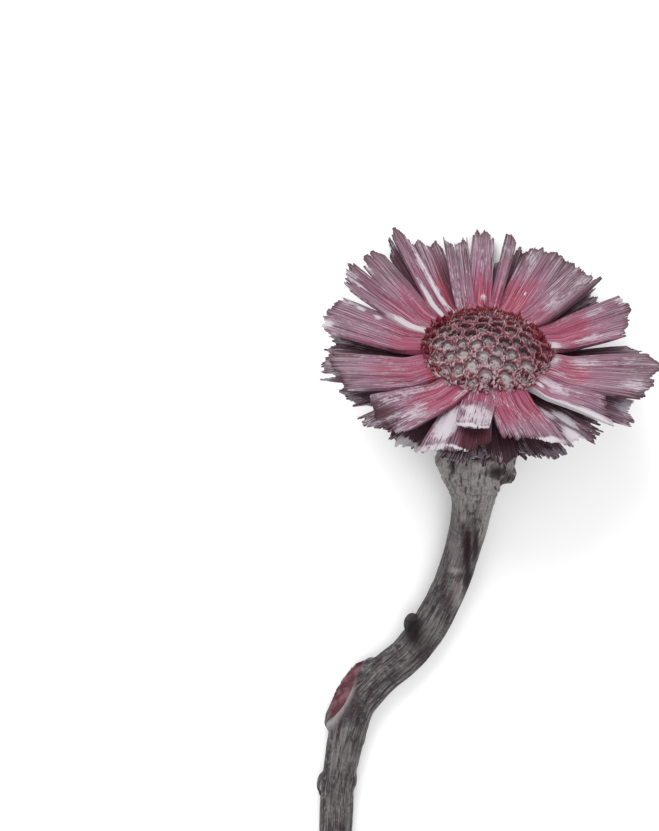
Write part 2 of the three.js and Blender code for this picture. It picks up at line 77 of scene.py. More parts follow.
# The top row, bract by bract: root and tip turn in degrees round the head from its +X towards the table,
# reach from the axis, width at root and tip, rise at root and tip in degrees, cup, twist in degrees
TOP_ROW = [
    (168, 164.8, 36.8, 6.5, 15.4, 7, 9, -0.05, 4), (150.4, 147.4, 38, 4, 7, 8, 17, 0.1, -10),
    (140.5, 134.6, 38.4, 4.8, 7.5, 9, 17, -0.1, 6), (129, 121.6, 41, 4, 4.3, 13, 18, 0.25, 8),
    (119, 113.2, 37, 4.8, 7.4, 9, 15, -0.15, -6), (110.2, 102.4, 36.8, 3.9, 5.6, 12, 17, 0.2, -12),
    (100.6, 92.2, 38.2, 6.6, 5, 11, 17, -0.1, 4), (87.6, 82.7, 37.8, 2, 3, 14, 19, 0.1, 22),
    (74.4, 68.6, 37, 6.4, 11, 9, 15, -0.1, 4), (57.2, 51.8, 37, 4.8, 11, 8, 17, 0.22, -10),
    (33.8, 28.5, 37.2, 7.4, 14.6, 6, 10, -0.06, -4), (-10.4, -6.4, 37.6, 7, 16, 6, 7, -0.05, 5),
    (-41, -27.4, 32.6, 5, 7.4, 3, -4, 0.3, 16), (-69.2, -69.2, 34.6, 7.4, 15.4, 9, 5, -0.12, -4),
    (-93.5, -95.6, 28.2, 7.4, 7.6, 13, 12, 0.08, 0), (-101, -100.6, 33.2, 7, 16.6, 3, -3, -0.2, 0),
    (-112.8, -130, 34.6, 6.2, 12.4, 9, 5, 0.28, -14), (-152.5, -162.2, 35.3, 8, 15, 6, 7, -0.06, 6),
]
# The hundredths of its length that each keeps, where its end is torn, at seven places across it
ENDS_AT = (-1, -0.67, -0.33, 0, 0.33, 0.67, 1)
TOP_ENDS = np.array([
    (90, 91, 94, 95, 96, 95, 90), (100, 100, 98, 95, 93, 90, 84), (93, 97, 99, 100, 98, 95, 90),
    (80, 90, 96, 99, 97, 93, 88), (88, 97, 93, 95, 102, 98, 95), (95, 97, 92, 91, 90, 91, 97),
    (93, 94, 97, 100, 94, 99, 95), (90, 92, 94, 95, 95, 94, 92), (96, 95, 100, 95, 97, 95, 87),
    (89, 90, 90, 92, 90, 92, 93), (77, 81, 88, 94, 98, 95, 95), (85, 90, 95, 94, 100, 95, 86),
    (100, 100, 92, 88, 84, 82, 80), (70, 78, 80, 83, 90, 92, 90), (96, 98, 99, 98, 97, 95, 93),
    (97, 99, 100, 98, 92, 82, 70), (95, 97, 93, 97, 92, 95, 93), (88, 92, 95, 95, 93, 92, 88),
]) / 100
# The second row, in the same terms
SECOND_ROW = [
    (176, 181, 36.6, 4.3, 9.5, 2, -2, 0.1, 6), (165, 170, 35, 3.9, 9, 1, 0, 0.1, -5),
    (142, 137, 33, 3.9, 7.4, 5, 6, -0.1, 8), (130.4, 123.8, 41, 3.5, 5, 14, 20, 0.1, 10),
    (121, 118.4, 36, 3.9, 7, 8, 10, 0.2, -8), (107, 106.6, 36.4, 3.5, 6.5, 8, 11, 0.1, 12),
    (91, 88, 36.8, 3.5, 6, 8, 12, -0.1, -6), (82, 78.4, 38.6, 3.1, 5.5, 10, 14, 0.2, 10),
    (62, 56, 39.2, 3.9, 9, 7, 11, 0.1, 6), (47, 45.6, 37.4, 3.9, 9, 5, 9, -0.1, -8),
    (22, 13, 35.6, 4.3, 8, 3, 3, 0.1, 10), (3, 0, 35.2, 3.9, 9, 1, -2, 0.1, -6),
    (-20, -16.3, 35.4, 4.3, 7.8, 0, -3, -0.1, 8), (-41, -41.8, 32.2, 4.2, 10.6, 2, -2, -0.1, -6),
    (-62, -59, 28.6, 3.9, 8, 0, -4, 0.15, 10), (-82, -80, 28.4, 3.9, 8, 0, -10, 0.1, -8),
    (-104, -106, 26.6, 4.7, 9, -2, -12, 0.2, 6), (-123, -125.6, 31.6, 4.7, 10, 1, -6, 0.1, -12),
    (-138, -138.6, 33.2, 4.7, 9.5, 1, -3, -0.1, 8), (-156, -158.6, 33.4, 4.7, 9, 1, 0, 0.15, -6),
    (-168, -172, 37, 3.5, 9.5, 2, 1, 0.1, 10), (36, 32.5, 37.8, 3.9, 8, 6, 8, 0.1, -6),
]
# How far the ends of some curl
CURLS = {17: 2.2, 13: 1.2, 14: 0.6, 114: 1.4, 118: 1.5, 119: 1.5, 120: 1.4, 121: 1.2}
ROOT_RADIUS, TOP_ROOT_HEIGHT, SECOND_ROOT_HEIGHT, SECOND_PARTS = 11.9, -3.1, -6.4, 4
# The rows under it: how many, root radius and height, length at the sides, over the stem and over the
# table, width and rise at root and tip, and the parts that the torn end is drawn in
LOWER_ROWS = [
    (17, 10.8, -11.2, (18.8, 11.4, 21.4), (3.8, 8), (-4, -8), 4),
    (14, 9.4, -15.9, (14, 8.2, 15.4), (3.8, 6.8), (-12, -20), 3),
    (12, 7.9, -20.4, (8.5, 5.5, 8.5), (3.6, 5.2), (-20, -30), 3),
]
# How each row is drawn: the width of a strip across it; how many places along it before its torn end and in
# it, and where that begins and stops; the depth of its tears and of its ribs; how far its root swells
ROW_FORMS = {
    "top_bracts": (0.3, (30, 40, 0.66, 1.06), 0.55, 0.32, 1.5),
    "second_bracts": (0.34, (18, 30, 0.66, 1.06), 1, 0.36, 0),
    "lower_bracts": (0.46, (8, 20, 0.6, 1.08), 1.2, 0.36, 0),
}
# The dyed wood of each: where its middle colour sits, its colours at root, middle and end, its chalk's
# colour, and how much limewash lies on it and how much more at its torn end
BRACT_WOODS = {
    "rose_bract": (0.46, "#8A3D56", "#805669", "#6A535C", "#AAA0A8", 0.18, 0),
    "plum_bract": (0.45, "#3F1B26", "#512E3B", "#614A56", "#A59CA3", 0.14, 0.25),
    "dark_bract": (0.4, "#190C11", "#2B161D", "#45303B", "#9B9098", 0.16, 0.35),
}
ROOT_THICKNESS, TIP_THICKNESS = 1.1, 0.6
TORN = 0.2  # the share of its length that a torn end may lose
TOOTH = 0.65  # how far a strip narrows at its torn end

# The stem's middle line from the cone down to the cut end, as x, y, z from under the disc, and its radius
STEM = np.array([
    (-1.6, -20.9, 16, 8.3), (-1.8, -24, 13.8, 8.9), (-2, -27, 11.8, 8.5), (-2.1, -29.9, 10.3, 6.9),
    (-2.2, -33.4, 8.6, 5.4), (-2.6, -38.1, 6.8, 4.6), (-3.5, -43, 5.6, 4.25), (-4.8, -47.8, 4.8, 4.1),
    (-6.3, -52.6, 4.5, 4.1), (-8.2, -57.3, 4.4, 4.1), (-12.4, -65.2, 4.4, 4.2), (-17.1, -71.3, 4.5, 4.2),
    (-23.2, -76.4, 4.6, 4.3), (-28.5, -82.4, 4.6, 4.3), (-30.7, -88, 4.4, 4.3), (-32.2, -94.5, 4.1, 4.05),
    (-33.4, -102, 3.8, 3.85), (-33.9, -112.5, 3.65, 3.75), (-34.2, -127, 3.9, 3.75), (-33, -146, 4.1, 3.8),
    (-30.3, -170, 4, 3.7), (-27.2, -196, 3.9, 3.7), (-25.2, -221, 3.7, 3.75), (-24.8, -243, 3.55, 3.65),
    (-25.8, -264, 3.45, 3.6),
])
CUT_SLANT = 22
# Knobs, buds and scars on it: place from under the disc, half sizes along, across and up
KNOBS = [
    (4.6, -28.8, 12.4, 2.7, 2.6, 2.8), (-8.6, -25.6, 14.4, 2.6, 2.2, 2.6), (-3.4, -27.6, 17.7, 2.8, 3.2, 1.9),
    (3, -30, 8, 2, 2.4, 2), (-7, -30.6, 8.8, 2, 1.8, 2), (-16.2, -64.4, 5.8, 2.7, 1.9, 1.9),
    (-28.5, -90.8, 4.4, 2.4, 1.6, 1.8), (-30.1, -100.4, 4.3, 2.6, 1.3, 1.6),
    (-36.9, -101.8, 4.1, 3, 1.5, 1.6), (-31, -133.5, 4.6, 2.6, 1.5, 1.6), (-35.3, -158, 4.6, 2.4, 1.4, 1.5),
    (-25.7, -184, 4.9, 2.8, 1.5, 1.6), (-28.9, -209.5, 4.4, 2.4, 1.4, 1.5), (-22.2, -233, 4.4, 2.6, 1.3, 1.5),
]
BUD = 5  # the knob that is the dark bud
BUD_SHIFT, BUD_HALF = (-0.3, 1.4, 0), (2.3, 4.6, 8)
# Dark stains on it: place from under the disc, half sizes across and along, and the amount
STEM_STAINS = [
    (-3.5, -46.8, 0.9, 6, 1.25), (-1.7, -45, 0.8, 5, 1.1), (-3.4, -53.5, 0.9, 2.6, 1.1), (-9, -58, 2, 3, 0.4),
    (-13.5, -70.5, 2, 5, 0.7), (-7.3, -26.6, 0.8, 1.7, 1.3), (2.8, -28.2, 2.3, 1.6, 1.1),
    (5.4, -29.6, 2, 2, 0.7), (-29.5, -83.5, 1.2, 5, 0.6), (-29, -92, 1.4, 3, 0.6),
]
# Where its bark is chalky and pale, in the same terms
STEM_CHALK = [
    (-6.4, -47, 1.5, 5, 0.7), (-6.4, -51.6, 1.5, 0.9, 1.2), (-5.6, -57.6, 1.3, 3.2, 0.8),
    (-4.6, -39.5, 0.9, 0.9, 1), (-1.2, -26.5, 1.6, 1.4, 1), (-9.4, -28, 1.4, 2.2, 0.8),
]
# The stub of the side shoot: its line and radii, and the oval of its slanting cut
STUB_LINE = np.array([(-31.7, -92, 4.3), (-30.6, -66, 5.6)])
STUB_RADII = (4, 4.3)
STUB_CUT_POINT = np.array([-31, -79.6, 5])
STUB_CUT_FACES = np.array([-0.72, 0.52, 0.46]) / np.linalg.norm([-0.72, 0.52, 0.46])
STUB_CUT_RUNS = np.array([0.477, 0.853, -0.216])
STUB_CUT_HALF, STUB_CUT_OVER, STUB_CUT_DEEP = (8.2, 3.5), 0.7, 1.6
STEM_SIDES, STEM_RING_STEP, STEM_VOXEL = 48, 1.2, 0.36

# Where the limewash lies thick on a bract: its number, and in hundredths the place along it from 0 to 1 and
# across it from -1 to 1, the half sizes there, and the amount
WASH_PATCHES = [
    (1, 93, 72, 7, 16, 80), (1, 72, -70, 5, 14, 80), (1, 56, -60, 4, 12, 70), (1, 88, -80, 12, 16, 50),
    (2, 14, 75, 30, 55, 110), (2, 62, 10, 30, 10, 35), (3, 85, 75, 10, 20, 40), (4, 20, 55, 30, 36, 100),
    (4, 45, -70, 40, 25, 60), (4, 80, 60, 20, 25, 30), (6, 65, 20, 50, 120, 20), (7, 32, -30, 4, 25, 55),
    (7, 85, -30, 15, 100, 12), (9, 45, -10, 2, 5, 100), (9, 80, 60, 12, 40, 30), (10, 10, -50, 10, 70, 60),
    (10, 60, 10, 30, 50, 30), (11, 10, -80, 16, 22, 90), (11, 45, -75, 20, 12, 35), (11, 93, 70, 6, 25, 50),
    (12, 6, 45, 14, 50, 60), (12, 34, 50, 14, 25, 30), (12, 80, -55, 10, 30, 25), (13, 14, 10, 5, 20, 90),
    (13, 55, -85, 40, 25, 110), (13, 30, 50, 20, 50, 40), (14, 88, 10, 6, 90, 80), (14, 70, 0, 20, 100, 12),
    (15, 66, 0, 26, 120, 42), (15, 52, -40, 14, 60, 60), (15, 93, 0, 5, 100, 90), (118, 93, 50, 10, 60, 110),
    (16, 60, -50, 27, 37, 80), (16, 96, -60, 7, 40, 60), (16, 94, 20, 3, 60, 70), (17, 12, 70, 12, 30, 60),
    (17, 72, -50, 12, 30, 35), (17, 74, 10, 22, 90, 40), (17, 50, -80, 30, 20, 30), (18, 85, 40, 15, 60, 5),
    (114, 55, 20, 20, 30, 80), (114, 80, -50, 15, 30, 70), (114, 35, -30, 15, 30, 60),
    (113, 90, 30, 10, 60, 50), (117, 50, 0, 20, 60, 40),
]
# Where the rose dye shows deep, in the same terms
DYE_PATCHES = [
    (2, 45, -10, 18, 60, 80), (3, 35, 0, 25, 90, 60), (5, 40, -20, 45, 120, 120), (7, 30, 0, 25, 120, 100),
    (8, 20, 0, 35, 120, 80), (9, 30, 20, 36, 100, 110), (10, 22, 0, 25, 100, 60), (11, 35, 10, 30, 80, 90),
    (12, 30, -10, 20, 70, 100), (14, 25, 0, 40, 120, 90), (16, 80, 50, 25, 50, 140), (17, 35, 0, 35, 80, 80),
    (17, 4, 40, 8, 70, 160), (18, 40, 0, 40, 90, 90), (14, 4, 0, 7, 120, 180), (18, 5, 80, 10, 60, 180),
    (13, 5, 30, 10, 60, 150), (1, 15, 0, 20, 100, 80), (18, 78, 0, 20, 90, 40), (114, 40, 60, 30, 30, 80),
]
# Where a bract is stained dark, in the same terms; the entries over the whole of bracts 115 to 118 are
# painted shade
STAIN_AND_SHADE_PATCHES = [
    (5, 45, -60, 42, 55, 100), (10, 45, -95, 45, 30, 90), (4, 35, 0, 25, 25, 50), (9, 88, 95, 18, 20, 80),
    (16, 78, 50, 35, 60, 110), (12, 88, -95, 14, 20, 80), (4, 70, 0, 50, 100, 22), (6, 70, 20, 50, 120, 22),
    (2, 80, 0, 40, 120, 15), (104, 60, 0, 80, 200, 50), (11, 95, -40, 6, 70, 50), (10, 95, -40, 6, 60, 60),
    (17, 90, -60, 10, 40, 50), (18, 95, 60, 6, 50, 50), (1, 95, -60, 5, 40, 60), (105, 60, 0, 60, 200, 50),
    (115, 50, 0, 80, 200, 100), (116, 50, 0, 80, 200, 100), (117, 50, 0, 80, 200, 100),
    (118, 45, 0, 70, 200, 100), (102, 30, 0, 50, 200, 70), (111, 30, 0, 50, 200, 80),
]

# Camera and light
PHOTO_WIDE, PHOTO_HIGH = 659, 831
DISC_PIXEL = (486.5, 350.5)  # the disc's middle in the picture
FOCAL_PIXELS = 4444.4
CAMERA_HEIGHT = 93  # degrees, from level at the stem's side to straight over the head and just past it
CAMERA_AWAY = 1.0
SENSOR = 36
FLOOR_HALF = 3000
SKY = 0.84
LIGHTS = {"key": ((-0.35, 1, 1), 0.9, 13.2), "fill": ((0.3, -0.4, 1.6), 1.6, 10.8)}  # place, size, power
SHINE = 0.25  # of dry wood


# Repeatable draws and noise

WAVES = (12.9898, 78.233, 37.719)
WAVE_HEIGHT = 43758.5453
SEED_STEP = 5.71


def draw(number, place):
    """A repeatable draw between 0 and 1 for the number and the place in its list."""
    wave = math.sin(number * WAVES[0] + place * WAVES[1]) * WAVE_HEIGHT
    return wave - math.floor(wave)


def shake(number, place, amount=1.0):
    """A repeatable draw of up to half the amount either way."""
    return amount * (draw(number, place) - 0.5)


def noise(points, seed=0):
    """Smooth random numbers from -1 to 1 that change over about one unit."""
    points = np.asarray(points, float)
    low = np.floor(points)
    part = points - low
    ease = part * part * (3 - 2 * part)
    total = np.zeros(points.shape[:-1])
    for corner in np.ndindex(2, 2, 2):
        value = np.sin((low + corner) @ np.array(WAVES) + seed * SEED_STEP) * WAVE_HEIGHT
        total += (value - np.floor(value)) * np.prod(np.where(corner, ease, 1 - ease), axis=-1)
    return 2 * total - 1


def smoothstep(low, high, value):
    share = np.clip((np.asarray(value, float) - low) / (high - low), 0, 1)
    return share * share * (3 - 2 * share)


# Places

def from_head(points):
    """From the head's own frame to the part's, eased off just over the table."""
    placed = points @ HEAD_TURN.T + HEAD_PLACE
    height = placed[..., 2]
    placed[..., 2] = np.where(height < EASED, EASED * np.exp(np.minimum(height / EASED - 1, 0)), height)
    return placed


def unit(vectors):
    return vectors / np.linalg.norm(vectors, axis=-1, keepdims=True)


def round_head(turn, reach, height):
    return np.stack([np.cos(turn) * reach, np.sin(turn) * reach, height], -1)


def pairs(ring):
    """Each of the ring's items with the next one."""
    return zip(ring, ring[1:] + ring[:1])


# Meshes

def linked(name, data):
    obj = bpy.data.objects.new(name, data)
    bpy.context.scene.collection.objects.link(obj)
    return obj


def add_values(mesh, values):
    for label, numbers in values.items():
        kind, field = ("FLOAT_VECTOR", "vector") if numbers.ndim == 2 else ("FLOAT", "value")
        made = mesh.attributes.new(label, kind, "POINT")
        made.data.foreach_set(field, np.ascontiguousarray(numbers, np.float32).ravel())


def mesh_object(name, points, faces, values):
    """A linked object from points in millimetres and faces, with its named values on each point."""
    mesh = bpy.data.meshes.new(name)
    mesh.from_pydata((np.asarray(points) * MM).tolist(), [], faces)
    add_values(mesh, values)
    return linked(name, mesh)


def plain_mesh(obj):
    """The object's evaluated shape as a plain mesh, in an object of the same name."""
    name = obj.name
    mesh = bpy.data.meshes.new_from_object(obj.evaluated_get(bpy.context.evaluated_depsgraph_get()))
    bpy.data.objects.remove(obj)
    return linked(name, mesh)


def finish_piece(obj, material, slot, *nodes, sharp=60):
    """Gives a piece its material and shading, and hangs it on the frame."""
    obj.data.materials.clear()
    obj.data.materials.append(material)
    obj.data.shade_smooth()
    obj.data.set_sharp_from_angle(angle=math.radians(sharp))
    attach(obj, "root")
    if nodes:
        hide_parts(*nodes)


def ring_faces(rings, sides):
    """Faces between rings of points that lie one after the other, and the first and last ring."""
    at = np.arange(rings * sides).reshape(rings, sides)
    after = np.roll(at, -1, 1)
    faces = np.stack([at[:-1], at[1:], after[1:], after[:-1]], -1)
    return faces.reshape(-1, 4).tolist(), at[0].tolist(), at[-1].tolist()


def joined_object(name, shapes):
    """One object from many shapes, each its points, faces and values."""
    points, part_faces, values = zip(*shapes)
    faces, count = [], 0
    for part, listed in zip(points, part_faces):
        faces += [[i + count for i in face] for face in listed]
        count += len(part)
    values = {key: np.concatenate([v[key] for v in values]) for key in values[0]}
    return mesh_object(name, np.concatenate(points), faces, values)


# Bracts

Bract = namedtuple("Bract", "number turn radius height length wide rise cup twist phase parts")


def listed_row(rows, height, first_number):
    bracts = []
    for number, listed in enumerate(rows, first_number):
        turn, reach, wide, rise, (cup, twist) = listed[:2], listed[2], listed[3:5], listed[5:7], listed[7:]
        length = (reach - ROOT_RADIUS) / math.cos(math.radians(sum(rise) / 2)) / (1 - TORN / 3)
        bracts.append(Bract(number, turn, ROOT_RADIUS, height, length, wide, rise, cup, twist,
                            draw(number, 1), SECOND_PARTS))
    return bracts


def lower_rows():
    """The short rows under the two listed ones, set round the cone with small draws."""
    bracts = []
    for r, (count, radius, height, long, wide, rise, parts) in enumerate(LOWER_ROWS):
        sides, over_stem, over_table = long
        for i in range(count):
            number = 100 * (r + 2) + i
            turn = 360 * (i + 0.5 * (r % 2) + shake(number, 0, 0.45)) / count
            towards = math.sin(math.radians(turn))
            other = over_stem if towards < 0 else over_table
            length = (sides + (other - sides) * towards**2) * (0.94 + 0.12 * draw(number, 1))
            bracts.append(Bract(
                number, (turn, turn + shake(number, 2, 8)), radius, height + shake(number, 3, 1.2), length,
                [half * (0.8 + 0.4 * draw(number, 4)) for half in wide],
                [slope + shake(number, 5, 6) for slope in rise],
                0.36 * (draw(number, 6) - 0.35), shake(number, 7, 30), draw(number, 8), parts,
            ))
    return bracts


def blade_line(bract, u):
    """Points of a blade's middle line at u, and the way its upper side faces there."""
    start = math.radians(bract.rise[0])
    bend = math.radians(bract.rise[1] - bract.rise[0]) or 1e-6
    angle = start + bend * u

    def out(v):
        return bract.radius + bract.length * (np.sin(start + bend * v) - math.sin(start)) / bend

    height = bract.height + bract.length * (math.cos(start) - np.cos(angle)) / bend
    reach = out(u)
    swing = (1 - bract.radius / reach) / (1 - bract.radius / out(1.0))
    turn = np.radians(bract.turn[0] + (bract.turn[1] - bract.turn[0]) * swing)
    return round_head(turn, reach, height), round_head(turn, -np.sin(angle), np.cos(angle))


def blade_surface(bract, u, q):
    """Where a blade's surface is at u along it and q across it, the way it faces and the way it runs."""
    point, upper = blade_line(bract, u)
    ahead = unit(blade_line(bract, u + 0.02)[0] - blade_line(bract, u - 0.02)[0])
    across = unit(np.cross(upper, ahead))
    faces = np.cross(ahead, across)
    twist = (np.radians(bract.twist) * u)[..., None]
    turned = across * np.cos(twist) + faces * np.sin(twist)
    faces = faces * np.cos(twist) - across * np.sin(twist)
    half = (bract.wide[0] + (bract.wide[1] - bract.wide[0]) * np.maximum(u, 0) ** 0.8) / 2
    wave = 0.05 * np.sin(np.pi * (1.6 * q + 2 * bract.phase)) * u
    lift = half * (bract.cup * (q * q - 0.4) + wave)
    return point + turned * (q * half)[..., None] + faces * lift[..., None], faces, ahead


def torn_ends(bract, q, tear):
    """Share of the blade's length that is left at each q: its listed or drawn end, with a fine fringe."""
    if bract.number <= len(TOP_ENDS):
        broad = np.interp(q, ENDS_AT, TOP_ENDS[bract.number - 1])
    else:
        at = np.linspace(-1, 1, bract.parts + 1)
        draws = [0.75 * draw(bract.number, j + 3) for j in range(bract.parts + 1)]
        broad = np.interp(q, at, 1 - TORN * (np.array(draws) + 0.25 * at**2))
    across = q * bract.wide[1] / 2
    place = np.stack([across, np.full_like(across, bract.number * 3.7), np.zeros_like(across)], -1)
    fringe = 1.1 * noise(place * 0.9, 11) + 0.8 * noise(place * 2.3, 12)
    slits = 4.0 * np.maximum(noise(place * 1.7, 13) - 0.55, 0) / 0.45
    return broad + tear * (fringe - slits) / bract.length


def painted(patches, bract, u, q):
    """The amount that the listed patches leave at each place of the bract."""
    amount = np.zeros_like(u)
    for number, *hundredths in patches:
        if number == bract.number:
            along, across, long, wide, strength = np.array(hundredths) / 100
            away = ((u - along) / long) ** 2 + ((q - across) / wide) ** 2
            amount = np.maximum(amount, strength * np.exp(-0.8 * away**1.5))
    return amount


def closed_sheet(upper, lower, kept):
    """Points and faces of a sheet between two grids of points, over the kept cells only."""
    rows, columns = kept.shape
    at = np.arange((rows + 1) * (columns + 1)).reshape(rows + 1, columns + 1)
    a, b, c, d = at[:-1, :-1][kept], at[:-1, 1:][kept], at[1:, :-1][kept], at[1:, 1:][kept]
    top = np.stack([a, c, d, b], 1)
    edges = np.concatenate([top[:, [k, (k + 1) % 4]] for k in range(4)])
    size = at.size
    rim = edges[~np.isin(edges[:, 0] * size + edges[:, 1], edges[:, 1] * size + edges[:, 0])]
    walls = np.stack([rim[:, 1], rim[:, 0], rim[:, 0] + size, rim[:, 1] + size], 1)
    quads = np.concatenate([top, top[:, ::-1] + size, walls])
    used, renumbered = np.unique(quads, return_inverse=True)
    points = np.concatenate([upper.reshape(-1, 3), lower.reshape(-1, 3)])[used]
    return points, renumbered.reshape(quads.shape).tolist(), used % size


def torn_grid(bract, column, lines, tear):
    """A blade's places along and across it, each strip's last cell, and how far it is to the torn end."""
    columns = max(6, round(max(bract.wide) / column))
    q_line = np.linspace(-1, 1, columns + 1)
    middle = (q_line[1:] + q_line[:-1]) / 2
    torn = torn_ends(bract, middle, tear)
    last = np.clip(np.searchsorted((lines[1:] + lines[:-1]) / 2, torn), 2, len(lines) - 1)
    u, q = np.meshgrid(lines, q_line, indexing="ij")
    for j in range(columns):
        for side, other in ((0, j - 1), (1, j + 1)):
            if not 0 <= other < columns or last[other] < last[j]:
                q[last[j], j + side] += (middle[j] - q_line[j + side]) * TOOTH
    left = np.minimum(np.r_[torn[0], torn], np.r_[torn, torn[-1]])
    return u, q, last, np.maximum(left[None, :] - u, 0) * bract.length


def blade_shape(bract, column, lines, tear, relief, swell, ends):
    """One bract: a ribbed woody blade with a torn end, whose places it adds to ends."""
    u, q, last, to_end = torn_grid(bract, column, lines, tear)
    point, faces, ahead = blade_surface(bract, u, q)
    fibre = np.stack([q * bract.wide[1] / 2, u * bract.length, np.full_like(u, bract.number * 9.7)], -1)
    thick = (ROOT_THICKNESS + (TIP_THICKNESS - ROOT_THICKNESS) * u) * (0.35 + 0.65 * smoothstep(0, 4, to_end))
    ribs = noise(fibre * (1.25, 0.035, 1), 3) + 0.5 * noise(fibre * (0.5, 0.03, 1), 4)
    warp = noise(fibre * (0.14, 0.09, 1), 5)
    shift = relief * (0.35 * ribs + 1.6 * warp * u) + swell * (1 - smoothstep(0.08, 0.3, u))
    curl = CURLS.get(bract.number, 0) * noise(fibre * (0.42, 0.07, 1), 6) * smoothstep(0.45, 0.95, u)
    shift = shift + curl
    upper = point + faces * (thick / 2 + shift)[..., None]
    lower = point + faces * (shift * 0.6 - thick / 2)[..., None]
    points, quads, place = closed_sheet(upper, lower, np.arange(len(lines) - 1)[:, None] < last)
    values = {"along": u, "to_end": to_end, "ridge": 0.3 * ribs + curl}
    for label, patches in (("wash", WASH_PATCHES), ("dye", DYE_PATCHES), ("stain", STAIN_AND_SHADE_PATCHES)):
        values[label] = painted(patches, bract, u, q)
    values = {label: grid.ravel()[place] for label, grid in values.items()}
    values["fibre"] = fibre.reshape(-1, 3)[place]
    values["tone"] = np.full(len(place), draw(bract.number, 41))
    ends += [(point[last[j], j], ahead[last[j], j], faces[last[j], j]) for j in range(0, len(last), 2)]
    return from_head(points), quads, values


def bract_piece(name, bracts, material, ends, *nodes):
    """A row of bracts, with its lines closer together where its ends are torn."""
    column, (before, within, start, beyond), tear, relief, swell = ROW_FORMS[name]
    lines = np.r_[np.linspace(0, start, before, endpoint=False), np.linspace(start, beyond, within)]
    shapes = [blade_shape(bract, column, lines, tear, relief, swell, ends) for bract in bracts]
    finish_piece(joined_object(name, shapes), material, "bract", *nodes, sharp=48)


def receptacle(material):
    """The cone that the bracts grow from, with the scars of the bases of those that fell."""
    profile = np.array([(0, CONE[0][1]), *CONE, (0, CONE[-1][1])])
    steps = np.r_[0, np.cumsum(np.linalg.norm(np.diff(profile, axis=0), axis=1))]
    rings = np.linspace(0, steps[-1], CONE_RINGS)[1:-1]
    turn = np.linspace(0, 2 * np.pi, CONE_SIDES, endpoint=False)
    radius, height = (np.interp(rings, steps, column)[:, None] + 0 * turn for column in profile.T)
    flat = round_head(turn, radius, height)
    scars = noise(flat * 0.55, 61) + 0.6 * noise(flat * 1.4, 62)
    flat = flat * (1 - 0.02 * np.abs(scars) * (radius > 3))[..., None]
    faces, first, last = ring_faces(len(rings), CONE_SIDES)
    points = np.concatenate([flat.reshape(-1, 3), [[0, 0, CONE[0][1]], [0, 0, CONE[-1][1]]]])
    count = len(points)
    faces += [[count - 2, a, b] for a, b in pairs(first)] + [[count - 1, b, a] for a, b in pairs(last)]
    levels = {"along": 0.2, "to_end": 20, "wash": 0, "dye": 0, "stain": 1, "ridge": 0, "tone": 0.5}
    values = {label: np.full(count, level) for label, level in levels.items()}
    values["fibre"] = points * (1, 1, 0.3)
    finish_piece(mesh_object("receptacle", from_head(points), faces, values), material, "bract")


# Seed disc

def dome(reach):
    return DISC_DOME * (1 - (reach / DISC_RADIUS) ** 2)


def cell_middles():
    """Places in a sunflower spiral, a little uneven."""
    golden = math.pi * (3 - math.sqrt(5))
    n = np.arange(math.ceil(2.2 * CELL_COUNT))
    reach = CELL_SPREAD * np.sqrt(n + 0.5)
    uneven = np.array([[shake(k, 33), shake(k, 34)] for k in n]) * CELL_UNEVEN
    return np.stack([reach * np.cos(n * golden), reach * np.sin(n * golden)], -1) + uneven


def cell_corners(middle, others):
    """The corners of the space round one middle that is nearer to it than to any other."""
    turns = np.arange(8) * math.pi / 4
    corners = list(middle + CELL_REACH * np.stack([np.cos(turns), np.sin(turns)], -1))
    for other in others:
        away = other - middle
        if not 0 < np.linalg.norm(away) <= CELL_NEAR:
            continue
        half = (middle + other) / 2
        kept = []
        for a, b in pairs(corners):
            from_a, from_b = (a - half) @ away, (b - half) @ away
            if from_a <= 0:
                kept.append(a)
            if from_a * from_b < 0:
                kept.append(a + (b - a) * from_a / (from_a - from_b))
        corners = kept
    return corners


def snapped_cells():
    """Each cell's middle and corners, with corners that nearly meet made one, and every corner once."""
    middles = cell_middles()
    found, cells = [], []
    for middle in middles[:CELL_COUNT]:
        ring = []
        for corner in cell_corners(middle, middles):
            near = next((c for c in found if np.linalg.norm(c - corner) < CORNER_SNAP), None)
            if near is None:
                near = corner
                found.append(corner)
            if not ring or ring[-1] is not near:
                ring.append(near)
        if ring[0] is ring[-1]:
            ring.pop()
        cells.append((middle, ring))
    return cells, found


